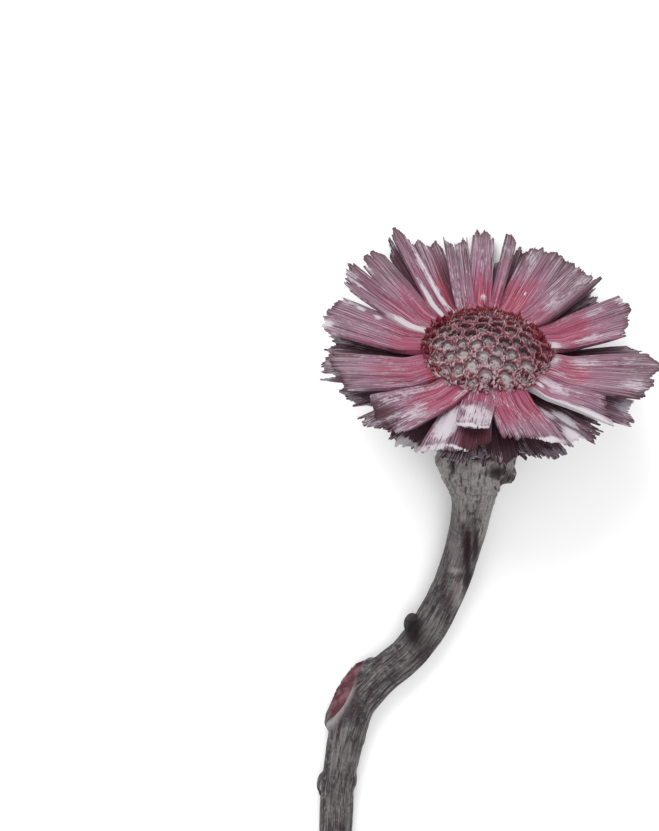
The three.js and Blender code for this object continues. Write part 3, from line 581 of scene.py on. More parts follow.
def cup_shape(n, middle, corners):
    """Points, faces and values of one cup: its thin lip, its wall, and its floor with a small ring."""
    steps = np.arange(CELL_EDGE_PARTS)[:, None]
    ring = np.concatenate([a + (b - a) * steps / CELL_EDGE_PARTS for a, b in pairs(corners)])
    around = len(ring)
    out = ring - middle
    edge = float(smoothstep(DISC_RADIUS - 4.2, DISC_RADIUS - 1.4, np.linalg.norm(middle)))

    def rough(scale, lane, seed):
        return noise(np.c_[ring * scale, np.full(around, lane)], seed)

    lip = 0.55 + 0.9 * rough(1.2, n * 3.1, 71) + 2.2 * np.maximum(rough(2.2, n * 5.3, 72), 0) + 0.5 * edge
    opening = (0.98 + shake(n, 53, 0.2)) * (1 - 0.1 * (1 + rough(0.7, n * 4.7, 74)))
    spoke = unit(out) * np.linalg.norm(out, axis=1).mean() * opening[:, None]
    off_middle = np.array([shake(n, 54), shake(n, 55)]) * 0.9
    ringed = float(smoothstep(0.3, 0.5, draw(n, 52)))
    deep = 0.6 + 0.6 * draw(n, 51)
    layers = []
    for k, (share, height) in enumerate(CUP_PROFILE):
        rounded = min(1.0, share / 0.15) * 0.85
        flat = middle + (out * (1 - rounded) + spoke * rounded) * (1 - share) + off_middle * share
        if share > RING_FROM:
            height = FLOOR_DEPTH + (height - FLOOR_DEPTH) * ringed
        rise = np.full(around, float(height))
        if LIP_FROM <= k < LIP_TO:
            rise = height * lip
        elif k == 0:
            rise = height + 0.25 * rough(1.3, 0, 73)
        away = np.minimum(np.linalg.norm(flat if share else ring, axis=1), DISC_RADIUS)
        layers.append(np.c_[flat, dome(away) + np.where(rise < 0, rise * deep, rise), np.full(around, share)])
    points = np.concatenate([*layers[:-1], layers[-1][:1]])
    faces = []
    for k in range(len(layers) - 2):
        low, high = k * around, (k + 1) * around
        faces += [[low + i, low + (i + 1) % around, high + (i + 1) % around, high + i] for i in range(around)]
    low = (len(layers) - 2) * around
    faces += [[low + i, low + (i + 1) % around, len(points) - 1] for i in range(around)]
    values = {"edge": np.full(len(points), edge), "cell": np.full(len(points), draw(n, 52))}
    return points[:, :3], faces, {"cup": points[:, 3], **values}


def disc_piece(cells, material):
    """All cups in one shell, closed by a skirt and a flat underside."""
    obj = joined_object("seed_cups", [cup_shape(n, *cell) for n, cell in enumerate(cells)])
    grown = bmesh.new()
    grown.from_mesh(obj.data)
    bmesh.ops.remove_doubles(grown, verts=grown.verts, dist=0.004 * MM)
    rim = [edge for edge in grown.edges if edge.is_boundary]
    for foot in bmesh.ops.extrude_edge_only(grown, edges=rim)["geom"]:
        if isinstance(foot, bmesh.types.BMVert):
            foot.co = Vector((foot.co.x * 0.95, foot.co.y * 0.95, DISC_UNDERSIDE * MM))
    bmesh.ops.holes_fill(grown, edges=[edge for edge in grown.edges if edge.is_boundary])
    bmesh.ops.recalc_face_normals(grown, faces=grown.faces)
    grown.to_mesh(obj.data)
    grown.free()
    local = np.array([v.co for v in obj.data.vertices]) / MM
    add_values(obj.data, {"spot": local})
    obj.data.vertices.foreach_set("co", (from_head(local) * MM).ravel())
    obj.data.update()
    finish_piece(obj, material, "disc", "seed_disc", sharp=55)


# Node trees

class Value:
    """An output of a node. Sums, differences and products of it add the nodes that work them out."""

    def __init__(self, wires, socket):
        self.wires, self.socket = wires, socket

    def __getitem__(self, name):
        return Value(self.wires, self.socket.node.outputs[name])

    def __add__(self, other):
        return self.wires.math("ADD", self, other)

    def __sub__(self, other):
        return self.wires.math("SUBTRACT", self, other)

    def __mul__(self, other):
        return self.wires.math("MULTIPLY", self, other)


class Wiring:
    """Adds nodes to a tree, with values, colours or links for their inputs, in order or by name."""

    def __init__(self, tree):
        self.tree = tree

    def give(self, socket, value):
        if isinstance(value, Value):
            self.tree.links.new(value.socket, socket)
        elif value is not None:
            colour = isinstance(value, str) and value.startswith("#")
            socket.default_value = linear(value) if colour else value

    def node(self, kind, *values, **named):
        made = self.tree.nodes.new(kind)
        inputs = {key: named.pop(key) for key in list(named) if key in made.inputs}
        for key, value in named.items():
            setattr(made, key, value)
        for socket, value in [*zip(made.inputs, values), *((made.inputs[k], v) for k, v in inputs.items())]:
            self.give(socket, value)
        return Value(self, next((socket for socket in made.outputs if socket.enabled), None))

    def math(self, operation, *values, clamp=False):
        return self.node("ShaderNodeMath", *values, operation=operation, use_clamp=clamp)

    def attribute(self, name, output="Fac"):
        return self.node("ShaderNodeAttribute", attribute_name=name)[output]

    def split(self, vector):
        return self.node("ShaderNodeSeparateXYZ", vector)

    def joined(self, x, y, z):
        return self.node("ShaderNodeCombineXYZ", x, y, z)

    def stretched(self, place, scale):
        return self.node("ShaderNodeVectorMath", place, scale, operation="MULTIPLY")

    def noise(self, place, scale, detail, roughness=0.55, distortion=0.0):
        return self.node("ShaderNodeTexNoise", Vector=place, Scale=scale, Detail=detail, Roughness=roughness,
                         Distortion=distortion)

    def mapped(self, *limits):
        """A value between two limits, drawn to 0 and 1 or to the two limits that follow."""
        return self.node("ShaderNodeMapRange", *limits, interpolation_type="SMOOTHSTEP")

    def layered(self, colour, *layers):
        """The colour with others laid over it in turn, each with its share."""
        for share, over in layers:
            colour = self.mix(share, colour, over)
        return colour

    def mix(self, share, first, second):
        made = self.tree.nodes.new("ShaderNodeMix")
        made.data_type = "RGBA"
        for number, value in ((0, share), (6, first), (7, second)):
            self.give(made.inputs[number], value)
        return Value(self, made.outputs[2])

    def ramp(self, value, stops):
        """Colours along the value, from their places and codes."""
        made = self.tree.nodes.new("ShaderNodeValToRGB")
        self.give(made.inputs[0], value)
        marks = made.color_ramp.elements
        for mark, (position, code) in ((marks[0], stops[0]), (marks[1], stops[-1])):
            mark.position, mark.color = position, linear(code)
        for position, code in stops[1:-1]:
            marks.new(position).color = linear(code)
        return Value(self, made.outputs[0])

    def placed(self, group, **inputs):
        """A group with its inputs given by name."""
        made = self.tree.nodes.new("ShaderNodeGroup")
        made.node_tree = group
        for label, value in inputs.items():
            self.give(made.inputs[label], value)
        return Value(self, made.outputs[0])


def linear(code):
    """A colour as written in hex, in linear light."""
    shares = [int(code[k:k + 2], 16) / 255 for k in (1, 3, 5)]
    return (*[s / 12.92 if s <= 0.04045 else ((s + 0.055) / 1.055) ** 2.4 for s in shares], 1.0)


def new_group(name, inputs, outputs, kind="ShaderNodeTree"):
    """An empty node group with named inputs and outputs, and its wiring."""
    group = bpy.data.node_groups.new(name, kind)
    for label, socket, value in inputs:
        made = group.interface.new_socket(label, in_out="INPUT", socket_type=f"NodeSocket{socket}")
        if value is not None:
            made.default_value = value
    for label, socket in outputs:
        group.interface.new_socket(label, in_out="OUTPUT", socket_type=f"NodeSocket{socket}")
    wires = Wiring(group)
    return group, wires, wires.node("NodeGroupInput"), group.nodes.new("NodeGroupOutput").inputs


# Slivers set on a surface by rule: the torn fibres and the disc's scales

SLIVER_SIZES = [
    ("Length", "Float", 0.002), ("Width", "Float", 0.0005), ("Flatness", "Float", 0.5), ("Bend", "Float", 0),
    ("Sides", "Int", 4), ("Seed", "Int", 1), ("Finish", "Material", None),
]


def sliver_tree():
    """A tree that sets a tapered sliver on each point, along its 'ahead' and flat towards its 'side'."""
    solid = ("Geometry", "Geometry")
    tree, w, given, out = new_group("Slivers", [(*solid, None), *SLIVER_SIZES], [solid], "GeometryNodeTree")
    cone = w.node("GeometryNodeMeshCone", given["Sides"], 2, None, 0.0, given["Width"], given["Length"],
                  fill_type="TRIANGLE_FAN")
    place = w.split(w.node("GeometryNodeInputPosition"))
    share = w.math("DIVIDE", place["Z"], given["Length"])
    bent = w.joined(place["X"] * given["Flatness"] + share * share * given["Bend"], place["Y"], place["Z"])

    def stored(shape, label, value, domain):
        return w.node("GeometryNodeStoreNamedAttribute", data_type="FLOAT", domain=domain, Geometry=shape,
                      Name=label, Value=value)

    def given_on_point(label, kind="FLOAT_VECTOR"):
        return w.node("GeometryNodeInputNamedAttribute", data_type=kind, Name=label)

    marked = stored(cone, "tip", share, "POINT")
    shaped = w.node("GeometryNodeSetPosition", Geometry=marked, Position=bent)
    align = "FunctionNodeAlignRotationToVector"
    along = w.node(align, axis="Z", Vector=given_on_point("ahead"))
    turned = w.node(align, axis="X", pivot_axis="Z", Rotation=along, Vector=given_on_point("side"))
    copies = w.node("GeometryNodeInstanceOnPoints", Points=given["Geometry"], Instance=shaped,
                    Rotation=turned, Scale=given_on_point("size", "FLOAT"))
    chance = w.node("FunctionNodeRandomValue", data_type="FLOAT", Seed=given["Seed"])
    toned = stored(copies, "tone", chance, "INSTANCE")
    real = w.node("GeometryNodeRealizeInstances", toned)
    w.give(out["Geometry"], w.node("GeometryNodeSetMaterial", Geometry=real, Material=given["Finish"]))
    return tree


def sliver_piece(name, tree, spots, material, slot, **sizes):
    """A piece of slivers on the spots, each a place, the way it points, the way it faces and its size."""
    places, ahead, side, size = (np.array(column, float) for column in zip(*spots))
    obj = mesh_object(name, places, [], {"ahead": unit(ahead), "side": unit(side), "size": size})
    modifier = obj.modifiers.new("Slivers", "NODES")
    modifier.node_group = tree
    sockets = {item.name: item.identifier for item in tree.interface.items_tree if item.in_out == "INPUT"}
    for label, value in {**sizes, "Finish": material}.items():
        modifier[sockets[label]] = value
    finish_piece(plain_mesh(obj), material, slot)


def fibre_spots(ends, chance=0.14, lowest=2.5):
    """Places, directions and sizes of the loose fibres at the torn ends that stand clear of the table."""
    spots = []
    for k, (place, ahead, faces) in enumerate(ends):
        point = from_head((place - ahead * 1.2)[None])[0]
        if draw(k + 7, 81) <= chance and point[2] >= lowest:
            spread = np.array([shake(k, 82, 0.7), shake(k, 83, 0.7), shake(k, 84, 0.7)])
            size = 0.35 + 0.9 * draw(k, 85) ** 2
            spots.append((point, HEAD_TURN @ (ahead + spread), HEAD_TURN @ faces, size))
    return spots


def scale_spots(cells, corners):
    """Places, directions and sizes of the pointed scales between the cups and round the disc's edge."""
    halfway = [(a + b) / 2 for _, ring in cells for a, b in pairs(ring)]
    at_edge, in_middle = [], []
    for k, corner in enumerate(corners + halfway):
        reach = np.linalg.norm(corner)
        ruffle = reach + 2.4 * max(0.0, corner[1] / DISC_RADIUS) + max(0.0, corner[0] / DISC_RADIUS)
        edge = float(smoothstep(DISC_RADIUS - 4.6, DISC_RADIUS - 0.8, ruffle))
        for copy in range(2 + round(5 * edge)):
            spot = corner + np.array([shake(k, 90 + copy), shake(k, 190 + copy)]) * (0.5 + 2.0 * (copy > 0))
            spot = spot * min(1, (DISC_RADIUS - 0.5) / np.linalg.norm(spot))
            away = np.append(spot / max(reach, 0.1), 0)
            lean = np.array([shake(k, 290 + copy), shake(k, 390 + copy), 0]) * 1.5
            over_table = max(0.0, spot[1] / DISC_RADIUS) * edge
            ahead = np.array([0, 0, 1]) + away * (0.1 + 0.2 * edge + 0.5 * over_table) + lean
            down = 0.3 + 1.2 * edge * draw(k, 590 + copy) * (copy > 1)
            base = np.append(spot * (1 + 0.05 * down), dome(min(reach, DISC_RADIUS)) - down)
            size = (0.26 + 0.36 * draw(k, 490 + copy)) * (1 + 0.35 * edge + 0.4 * over_table)
            spots = at_edge if edge > 0.4 else in_middle
            spots.append((from_head(base[None])[0], HEAD_TURN @ ahead, HEAD_TURN @ -away, size))
    return at_edge, in_middle


# Stem

def spline(stations, parts):
    """A smooth line through the stations, with so many parts between two of them."""
    padded = np.vstack([2 * stations[0] - stations[1], stations, 2 * stations[-1] - stations[-2]])
    made = []
    for i in range(len(stations) - 1):
        p0, p1, p2, p3 = padded[i:i + 4]
        for t in np.arange(parts[i]) / parts[i]:
            made.append(0.5 * (2 * p1 + (p2 - p0) * t + (2 * p0 - 5 * p1 + 4 * p2 - p3) * t**2
                               + (3 * p1 - p0 - 3 * p2 + p3) * t**3))
    return np.array(made + [stations[-1]])


def ring_frames(line):
    """The way a line runs, its level side and its upper side, at each of its points."""
    ahead = unit(np.gradient(line, axis=0))
    side = unit(np.cross(ahead, [0, 0, 1.0]))
    return ahead, side, np.cross(side, ahead)


def add_tube(whole, line, radii, slant_end=0.0):
    """Adds a closed tube along a line, and gives its points and faces."""
    ahead, side, top = ring_frames(line)
    turn = np.linspace(0, 2 * np.pi, STEM_SIDES, endpoint=False)
    out = side[:, None] * np.cos(turn)[:, None] + top[:, None] * np.sin(turn)[:, None]
    rings = line[:, None] + out * radii[:, None, None]
    over = rings[-1] - line[-1]
    rings[-1] += ahead[-1] * (over[:, :1] * math.tan(math.radians(slant_end)))
    faces, first, last = ring_faces(len(rings), STEM_SIDES)
    verts = [whole.verts.new(p) for p in (rings.reshape(-1, 3) + UNDER_DISC) * MM]
    return verts, [whole.faces.new([verts[i] for i in face]) for face in faces + [first, last[::-1]]]


def stem_form():
    """The stem's main tube, knobs and stub, joined and remeshed in small even faces."""
    whole = bmesh.new()
    spans = np.linalg.norm(np.diff(STEM[:, :3], axis=0), axis=1)
    stations = spline(STEM, [max(1, round(span / STEM_RING_STEP)) for span in spans])
    add_tube(whole, stations[:, :3], stations[:, 3], CUT_SLANT)
    for x, y, z, along, across, up in KNOBS:
        place = Matrix.Translation(Vector((UNDER_DISC + (x, y, z)) * MM))
        size = Matrix.Diagonal(Vector((across, along, up, 1 / MM)) * MM)
        bmesh.ops.create_icosphere(whole, subdivisions=3, radius=1, matrix=place @ size)
    shares = np.linspace(0, 1, 24)
    line = STUB_LINE[0] + (STUB_LINE[1] - STUB_LINE[0]) * shares[:, None]
    verts, faces = add_tube(whole, line, np.interp(shares, [0, 1], STUB_RADII))
    edges = {edge for face in faces for edge in face.edges}
    cut = bmesh.ops.bisect_plane(
        whole, geom=verts + list(edges) + faces, clear_outer=True,
        plane_co=Vector((STUB_CUT_POINT + UNDER_DISC) * MM), plane_no=Vector(STUB_CUT_FACES),
    )
    rim = [part for part in cut["geom_cut"] if isinstance(part, bmesh.types.BMEdge)]
    bmesh.ops.edgeloop_fill(whole, edges=rim)
    bmesh.ops.recalc_face_normals(whole, faces=whole.faces)
    mesh = bpy.data.meshes.new("stem_wood")
    whole.to_mesh(mesh)
    whole.free()
    obj = linked("stem_wood", mesh)
    remesh = obj.modifiers.new("Remesh", "REMESH")
    remesh.mode = "VOXEL"
    remesh.voxel_size = STEM_VOXEL * MM
    return plain_mesh(obj)


def straightened(points):
    """Places on the stem as if it were straight: across, up and along it."""
    line = spline(STEM[:, :3], [40] * (len(STEM) - 1))
    _, side, top = ring_frames(line)
    along = np.r_[0, np.cumsum(np.linalg.norm(np.diff(line, axis=0), axis=1))]
    tree = KDTree(len(line))
    for i, place in enumerate(line):
        tree.insert(place, i)
    tree.balance()
    near = np.array([tree.find(p)[1] for p in points])
    off = points - line[near]
    return np.stack([(off * side[near]).sum(1), (off * top[near]).sum(1), along[near]], -1)


def painted_stem(patches, points):
    """The amount that the listed places on the stem leave at each point."""
    amount = np.zeros(len(points))
    ragged = 1 + 0.4 * noise(points * (1.6, 0.6, 1.6), 29)
    for x, y, across, along, strength in patches:
        away = np.hypot((points[:, 0] - x) / across, (points[:, 1] - y) / along) * ragged
        amount = np.maximum(amount, strength * np.exp(-0.8 * away**3))
    return amount


def stub_cut(points):
    """Each point's height over the stub's cut, and its share of the cut, its lip and the lip's pale part."""
    off = points - STUB_CUT_POINT
    height, runs = off @ STUB_CUT_FACES, off @ STUB_CUT_RUNS
    over = off @ np.cross(STUB_CUT_FACES, STUB_CUT_RUNS) - STUB_CUT_OVER
    oval = np.hypot(runs / STUB_CUT_HALF[0], over / STUB_CUT_HALF[1])
    cut = (1 - smoothstep(0.88, 1.0, oval)) * (height > -STUB_CUT_DEEP)
    lip = np.exp(-((oval - 1.12) / 0.12) ** 2) * (np.abs(height) < STUB_CUT_DEEP)
    return height, cut, lip, lip * (over < 0) * smoothstep(3, -1, runs)


def stem_piece(material):
    """The stem with its bark's ridges, fissures and scars raised on its surface."""
    obj = stem_form()
    mesh = obj.data
    points = np.array([v.co for v in mesh.vertices]) / MM - UNDER_DISC
    normals = np.array([v.normal for v in mesh.vertices])
    bark = straightened(points)
    lane = np.c_[unit(bark[:, :2]) * 4.0, bark[:, 2]]
    wander = lane + 0.5 * noise(lane * (0.3, 0.3, 0.12), 21)[:, None] * (1, 1, 0)
    ridges, fine = noise(wander * (1.1, 1.1, 0.12), 22), noise(wander * (2.2, 2.2, 0.3), 23)
    cracks = np.maximum(0, 1 - np.abs(noise(wander * (0.6, 0.6, 0.08), 24)) / 0.08)
    collar = 1 - smoothstep(9, 20, bark[:, 2])
    crust = 1 - smoothstep(18, 27, bark[:, 2] + 2.5 * noise(points * 0.3, 28) + 1.2 * bark[:, 0])
    warts = 1 - 2 * np.abs(noise(points * 0.5, 26)) - 0.8 * np.abs(noise(points * 1.1, 27))
    lumps = noise(points * 0.28, 25)
    height, cut, lip, pale_lip = stub_cut(points)
    points = points - (height * cut)[:, None] * STUB_CUT_FACES
    end = smoothstep(0.75, 0.9, -normals[:, 1]) * smoothstep(240, 242, -points[:, 1])
    to_bud = (points - KNOBS[BUD][:3] + BUD_SHIFT) / BUD_HALF
    bud = np.exp(-(np.linalg.norm(to_bud, axis=1) ** 4))
    shift = 0.13 * ridges + 0.08 * fine - 0.22 * cracks * (1 - collar) + 0.12 * lumps + 0.6 * collar * warts
    shift = (shift + 0.9 * lip) * (1 - np.maximum(cut, end)) * (1 - 0.7 * bud)
    moved = points + normals * shift[:, None] + UNDER_DISC
    moved[:, 2] = np.maximum(moved[:, 2], 0)
    mesh.vertices.foreach_set("co", (moved * MM).ravel())
    # Among its values, how low each place lies in the bark, which the bark's colour darkens as painted shade
    # in the fissures
    add_values(mesh, {
        "bark": lane, "fissure_shade": ridges * 0.5 + fine * 0.3 - cracks, "collar": crust, "cut": cut, "end": end,
        "bud": bud, "shade": painted_stem(STEM_STAINS, points), "pale": painted_stem(STEM_CHALK, points),
        "spot": points, "lip": pale_lip,
    })
    mesh.update()
    finish_piece(obj, material, "bark", "stem", sharp=70)


# Materials

FIBRE_INPUTS = [("Place", "Vector", None), ("Width", "Float", 0.4), ("Length", "Float", 10)]


def along_fibres(w, given):
    """The group's place, drawn out by its width and length."""
    across, along = (w.math("DIVIDE", 1.0, given[label]) for label in ("Width", "Length"))
    return w.stretched(given["Place"], w.joined(across, along, 1.0))


def fibre_grain_group():
    """Fine lengthwise fibres: a mask of painted shade in the grooves between them, a mask of their ridges,
    pale with chalk and painted highlight, and their height.
    """
    outputs = [("GrooveShade", "Float"), ("Ridges", "Float"), ("Height", "Float")]
    group, w, given, out = new_group("Fibre grain", FIBRE_INPUTS, outputs)
    place = along_fibres(w, given)
    fine, broad = w.noise(place, 1.0, 4.0, 0.62, 0.15), w.noise(place, 0.37, 2.0)
    w.give(out["Height"], fine + broad * 0.6)
    w.give(out["GrooveShade"], w.mapped(fine, 0.5, 0.36))
    w.give(out["Ridges"], w.mapped(fine, 0.53, 0.66))
    return group


def limewash_group():
    """Where chalky wash sits: streaks along the fibres, rubbed thin or lying thick by the amount."""
    inputs = [*FIBRE_INPUTS, ("Amount", "Float", 0.4)]
    group, w, given, out = new_group("Limewash", inputs, [("Mask", "Float")])
    streaks = w.noise(along_fibres(w, given), 1.0, 4.0, 0.65, 0.2)
    clouds = w.noise(w.stretched(given["Place"], (0.24, 0.13, 1)), 1.0, 4.0)
    grit = w.noise(w.stretched(given["Place"], (1.7, 0.8, 1)), 1.0, 4.0, 0.7)
    level = (streaks - 0.5) * 1.6 + (clouds - 0.5) * 0.9 + (grit - 0.5) * 0.7
    w.give(out["Mask"], w.mapped(level + given["Amount"] * 0.75, 0.28, 0.52))
    return group


def new_material(name):
    material = bpy.data.materials.new(name)
    material.use_nodes = True
    material.node_tree.nodes.clear()
    return material, Wiring(material.node_tree)


def finish_shader(w, colour, roughness, height=None, strength=0.0, deep=0.0, shine=SHINE):
    """The material's shader, with its colour, and with relief from a height so many millimetres deep."""
    looks = {"Base Color": colour, "Roughness": roughness, "Specular IOR Level": shine}
    if height is not None:
        looks["Normal"] = w.node("ShaderNodeBump", Strength=strength, Distance=deep * MM, Height=height)
    w.node("ShaderNodeOutputMaterial", w.node("ShaderNodeBsdfPrincipled", **looks))


def bract_material(name, groups, middle_at, root, middle, outer, chalk, wash, end_wash):
    """Dyed bract wood: deep rose at its root, faded outwards, with limewash along its fibres, and painted
    shade in the grooves between fibres, in the valleys of its ribs and curls, and at its torn end.
    """
    material, w = new_material(name)
    fibre = w.attribute("fibre", "Vector")
    tone, along, to_end, ridge, dye, stain, painted_on = map(w.attribute, (
        "tone", "along", "to_end", "ridge", "dye", "stain", "wash"))
    grain = w.placed(groups["grain"], Place=fibre, Width=0.24, Length=14)
    blotch = w.noise(w.stretched(fibre, (0.5, 0.22, 1)), 1.0, 5.0, 0.62)
    reach = along + (blotch - 0.5) * 1.1 - dye * 0.45 + (tone - 0.5) * 0.25
    colour = w.ramp(reach, [(0, root), (middle_at, middle), (0.95, outer)])
    # Painted shade in the grooves between the fibres and in the valleys of the ribs and curls; the dark torn
    # end is partly its own colour, partly painted shade; the pale ridges are chalk and painted highlight
    colour = w.layered(
        colour, (w.mapped(dye, 0.7, 1.6, 0, 0.75), "#8C2534"), (grain["GrooveShade"] * 0.8, "#35131D"),
        (grain["Ridges"] * (along * 0.4 + 0.3), chalk), (w.mapped(to_end, 1.6, 0, 0, 0.6), "#44262E"),
        # Real stains, and painted shade over the whole of bracts 115 to 118
        (stain * 0.8, "#2B121A"), (w.mapped(ridge, -0.2, -0.9, 0, 0.6), "#35141D"),
    )
    amount = painted_on + (along * 0.08 + wash) - stain * 0.25
    amount = amount + w.mapped(to_end, 4, 0.5, 0, end_wash) + ridge * 0.22
    mask = w.placed(groups["wash"], Place=fibre, Width=0.2, Length=7, Amount=amount)
    colour = w.mix(mask * 0.85, colour, w.mix(w.mapped(painted_on, 0.1, 0.7), chalk, "#BBB6BB"))
    finish_shader(w, colour, w.mapped(mask, 0, 1, 0.78, 0.95), grain["Height"] + mask * 0.3, 0.8, 0.16)
    return material


def disc_material():
    """The cups: crimson between them, pale thin lips, walls darkened by painted shade, and chalky floors with
    a dark ring and a middle pit darkened by painted shade.
    """
    material, w = new_material("cup_wood")
    spot = w.attribute("spot", "Vector")
    cup, edge, cell = map(w.attribute, ("cup", "edge", "cell"))
    mottle, speck = w.noise(spot, 1.1, 4.0), w.noise(spot, 3.4, 3.0)
    seen = w.math("MINIMUM", cup, w.mapped(cell, 0.3, 0.5, 0.5, 1))
    colour = w.ramp(seen + (speck - 0.5) * 0.1, CUP_COLOURS_AND_SHADE)
    side = w.split(spot)
    red = w.math("ADD", edge * 0.8, w.mapped(mottle, 0.44, 0.62, 0, 0.8), clamp=True)
    red = red * w.mapped(cup, 0.12, 0.2, 0.85, 0.3)
    red = w.math("MAXIMUM", red, w.mapped(side["Y"] + side["X"] * 0.5, 3, 11, 0, 0.8))
    colour = w.mix(red, colour, "#6A1F2C")
    amount = side["Y"] * -0.048 - side["X"] * 0.016 + 0.17 + edge * -0.12 + (cell - 0.5) * 0.25
    chalk = w.noise(spot, 0.5, 2.0) + w.noise(spot, 2.2, 5.0, 0.75) + amount
    floors = w.mapped(cup, 0.26, 0.44) * w.mapped(cup, 0.82, 0.88, 1, 0.3)
    lips = w.mapped(cup, 0.09, 0.15, 1, 0.08) * w.mapped(cup, 0.02, 0.06, 0.35, 1)
    lips = lips * w.mapped(w.noise(spot, 1.3, 4.0), 0.45, 0.57, 0.15, 1)
    # Little chalk on the walls, so that the painted shade there stays dark
    walls = w.mapped(cup, 0.14, 0.22) * 0.4
    open_parts = w.math("MAXIMUM", w.math("MAXIMUM", floors, lips), walls)
    mask = w.math("MAXIMUM", w.mapped(chalk, 1.1, 1.4) * (open_parts * 0.9), lips * 0.5)
    colour = w.mix(mask, colour, w.mix(floors, "#ACA0A5", "#A39B9A"))
    finish_shader(w, colour, 0.85, speck + mottle, 0.5, 0.12)
    return material


def sliver_material(name, foot, tip, pale_from, chalked):
    """A sliver's colour from its foot to its tip, a little different on each, and paler over the stem."""
    material, w = new_material(name)
    place = w.split(w.node("ShaderNodeTexCoord")["Object"])
    share = w.attribute("tip") + (w.attribute("tone") - 0.5) * 0.9
    share = share + w.mapped(place["Y"], 0.122, 0.11, 0, chalked)
    finish_shader(w, w.mix(w.mapped(share, pale_from, pale_from + 0.6), foot, tip), 0.8)
    return material


def bark_material(groups):
    """Grey chalked bark with painted shade in its fissures and fine grooves, a scarred collar, the burgundy
    stub cut and the pale cut end.
    """
    material, w = new_material("chalked_bark")
    bark, spot = w.attribute("bark", "Vector"), w.attribute("spot", "Vector")
    fissure_shade, collar, shade, pale, bud, cut, lip, end = map(w.attribute, (
        "fissure_shade", "collar", "shade", "pale", "bud", "cut", "lip", "end"))
    lane = w.split(bark)
    place = w.joined(lane["X"], lane["Z"], lane["Y"])
    grain = w.placed(groups["grain"], Place=place, Width=0.26, Length=6)
    patch = w.noise(w.stretched(bark, (0.16, 0.16, 0.07)), 1.0, 4.0)
    mottle = w.noise(spot, 0.9, 5.0, 0.65)
    bands = w.noise(w.stretched(bark, (0.22, 0.22, 0.8)), 1.0, 3.0)
    wrinkles = w.mapped(w.noise(spot, 1.5, 5.0, 0.7), 0.5, 0.62, 0, 0.55)
    amount = (collar * 0.3 + 0.14) - shade * 0.4 + pale * 0.3
    wash = w.placed(groups["wash"], Place=place, Width=0.3, Length=3, Amount=amount)
    face = w.mix(w.mapped(w.noise(spot, 0.35, 4.0, 0.6), 0.4, 0.62), "#4A222B", "#6E4A52")
    # Painted shade in the fissures and in the fine grooves between the fibres; the pale ridges carry chalk
    colour = w.layered(
        w.mix(w.mapped(patch, 0.38, 0.62), "#393335", "#605D5D"), (collar * 0.75, "#87827F"),
        (w.mapped(mottle, 0.44, 0.66, 0, 0.5), "#747372"), (w.mapped(fissure_shade, 0, -0.7, 0, 0.7), "#261D20"),
        (grain["GrooveShade"] * 0.85, "#281E22"), (grain["Ridges"] * 0.45, "#848382"),
        (w.mapped(bands, 0.6, 0.68, 0, 0.6), "#33272B"), (wrinkles * collar, "#4E4648"),
        (pale * 0.6, "#8D8184"), (shade * 0.85, "#231318"), (wash * 0.6, "#93908F"), (bud * 0.95, "#0D0709"),
        (cut, face), (lip * 0.7, "#968E90"), (end, "#A58E79"),
    )
    finish_shader(w, colour, 0.88, grain["Height"] * 1.2 + mottle, 0.9, 0.3)
    return material


# Studio

def pale_floor():
    corners = [(x * FLOOR_HALF, y * FLOOR_HALF, 0) for x, y in ((-1, -1), (1, -1), (1, 1), (-1, 1))]
    floor = mesh_object("floor", corners, [(0, 1, 2, 3)], {})
    material, w = new_material("pale_floor")
    place = w.node("ShaderNodeTexCoord")["Object"]
    finish_shader(w, w.mix(w.noise(place, 3.0, 2.0), "#F7F7F7", "#F9F9F9"), 0.9, shine=0.5)
    floor.data.materials.append(material)


def soft_light(name, place, size, power):
    light = bpy.data.lights.new(name, "AREA")
    light.shape, light.size, light.energy = "DISK", size, power
    obj = linked(name, light)
    obj.location = place
    obj.rotation_euler = (Vector(HEAD_PLACE * MM) - Vector(place)).to_track_quat("-Z", "Y").to_euler()


def studio():
    pale_floor()
    world = bpy.data.worlds.new("studio")
    bpy.context.scene.world = world
    world.use_nodes = True
    background = world.node_tree.nodes["Background"]
    background.inputs["Color"].default_value = (1, 1, 1, 1)
    background.inputs["Strength"].default_value = SKY
    for name, light in LIGHTS.items():
        soft_light(name, *light)
    bpy.context.scene.view_settings.view_transform = "Standard"


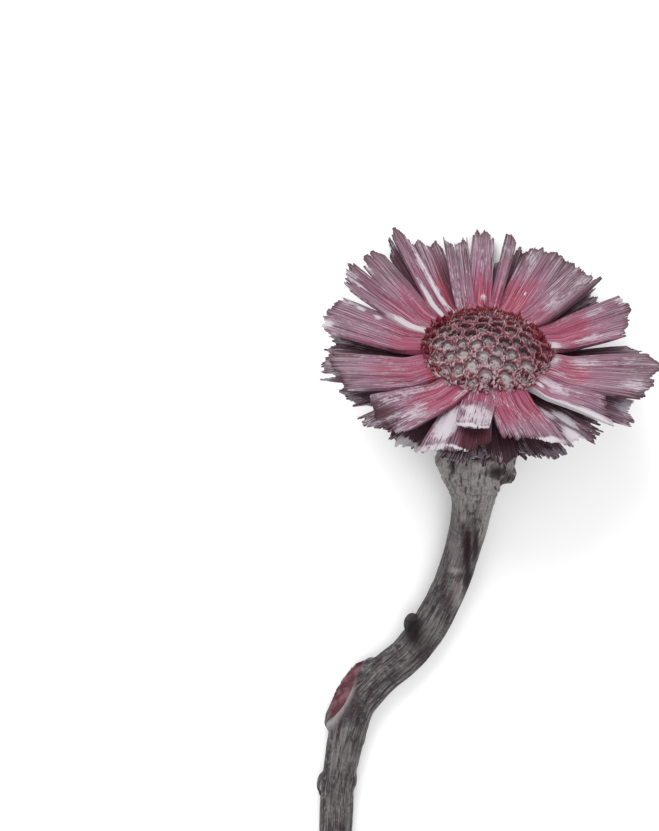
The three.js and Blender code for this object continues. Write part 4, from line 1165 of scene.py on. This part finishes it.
def camera():
    """The photo's view: nearly straight down, with the disc's middle at its place in the picture."""
    height = math.radians(CAMERA_HEIGHT)
    back = Vector((0, -math.cos(height), math.sin(height)))
    up = Vector((0, math.sin(height), math.cos(height)))
    right = Vector((1, 0, 0))
    over = (DISC_PIXEL[0] - PHOTO_WIDE / 2) / FOCAL_PIXELS
    above = (PHOTO_HIGH / 2 - DISC_PIXEL[1]) / FOCAL_PIXELS
    place = Vector(HEAD_PLACE * MM) - (right * over + up * above - back) * CAMERA_AWAY
    data = bpy.data.cameras.new("camera")
    data.sensor_width = SENSOR
    data.lens = FOCAL_PIXELS * SENSOR / PHOTO_HIGH
    obj = linked("camera", data)
    obj.matrix_world = Matrix.Translation(place) @ Matrix((right, up, back)).transposed().to_4x4()
    bpy.context.scene.camera = obj


def build():
    groups = {"grain": fibre_grain_group(), "wash": limewash_group()}
    rose, plum, dark = (bract_material(name, groups, *looks) for name, looks in BRACT_WOODS.items())
    ends = []
    bract_piece("top_bracts", listed_row(TOP_ROW, TOP_ROOT_HEIGHT, 1), rose, ends, "bracts")
    bract_piece("second_bracts", listed_row(SECOND_ROW, SECOND_ROOT_HEIGHT, 101), plum, ends)
    bract_piece("lower_bracts", lower_rows(), dark, ends)
    receptacle(dark)
    cells, corners = snapped_cells()
    disc_piece(cells, disc_material())
    tree = sliver_tree()
    fibre_wood = sliver_material("torn_fibre", "#623E49", "#836E77", 0.35, 0)
    sliver_piece("torn_fibres", tree, fibre_spots(ends), fibre_wood, "bract", Length=2.4 * MM,
                 Width=0.12 * MM, Flatness=0.6, Bend=0.4 * MM, Sides=4, Seed=3)
    edge_spots, middle_spots = scale_spots(cells, corners)
    crimson = sliver_material("crimson_scale", "#6E1826", "#A48D94", 0.75, 1)
    pale = sliver_material("pale_scale", "#6A3541", "#A6969C", 0.25, 0.7)
    for name, spots, wood in (("disc_scales", edge_spots, crimson), ("lip_points", middle_spots, pale)):
        sliver_piece(name, tree, spots, wood, "disc", Length=1.8 * MM, Width=0.75 * MM, Flatness=0.3,
                     Bend=0.3 * MM, Sides=6, Seed=5)
    stem_piece(bark_material(groups))


camera()
studio()
build()
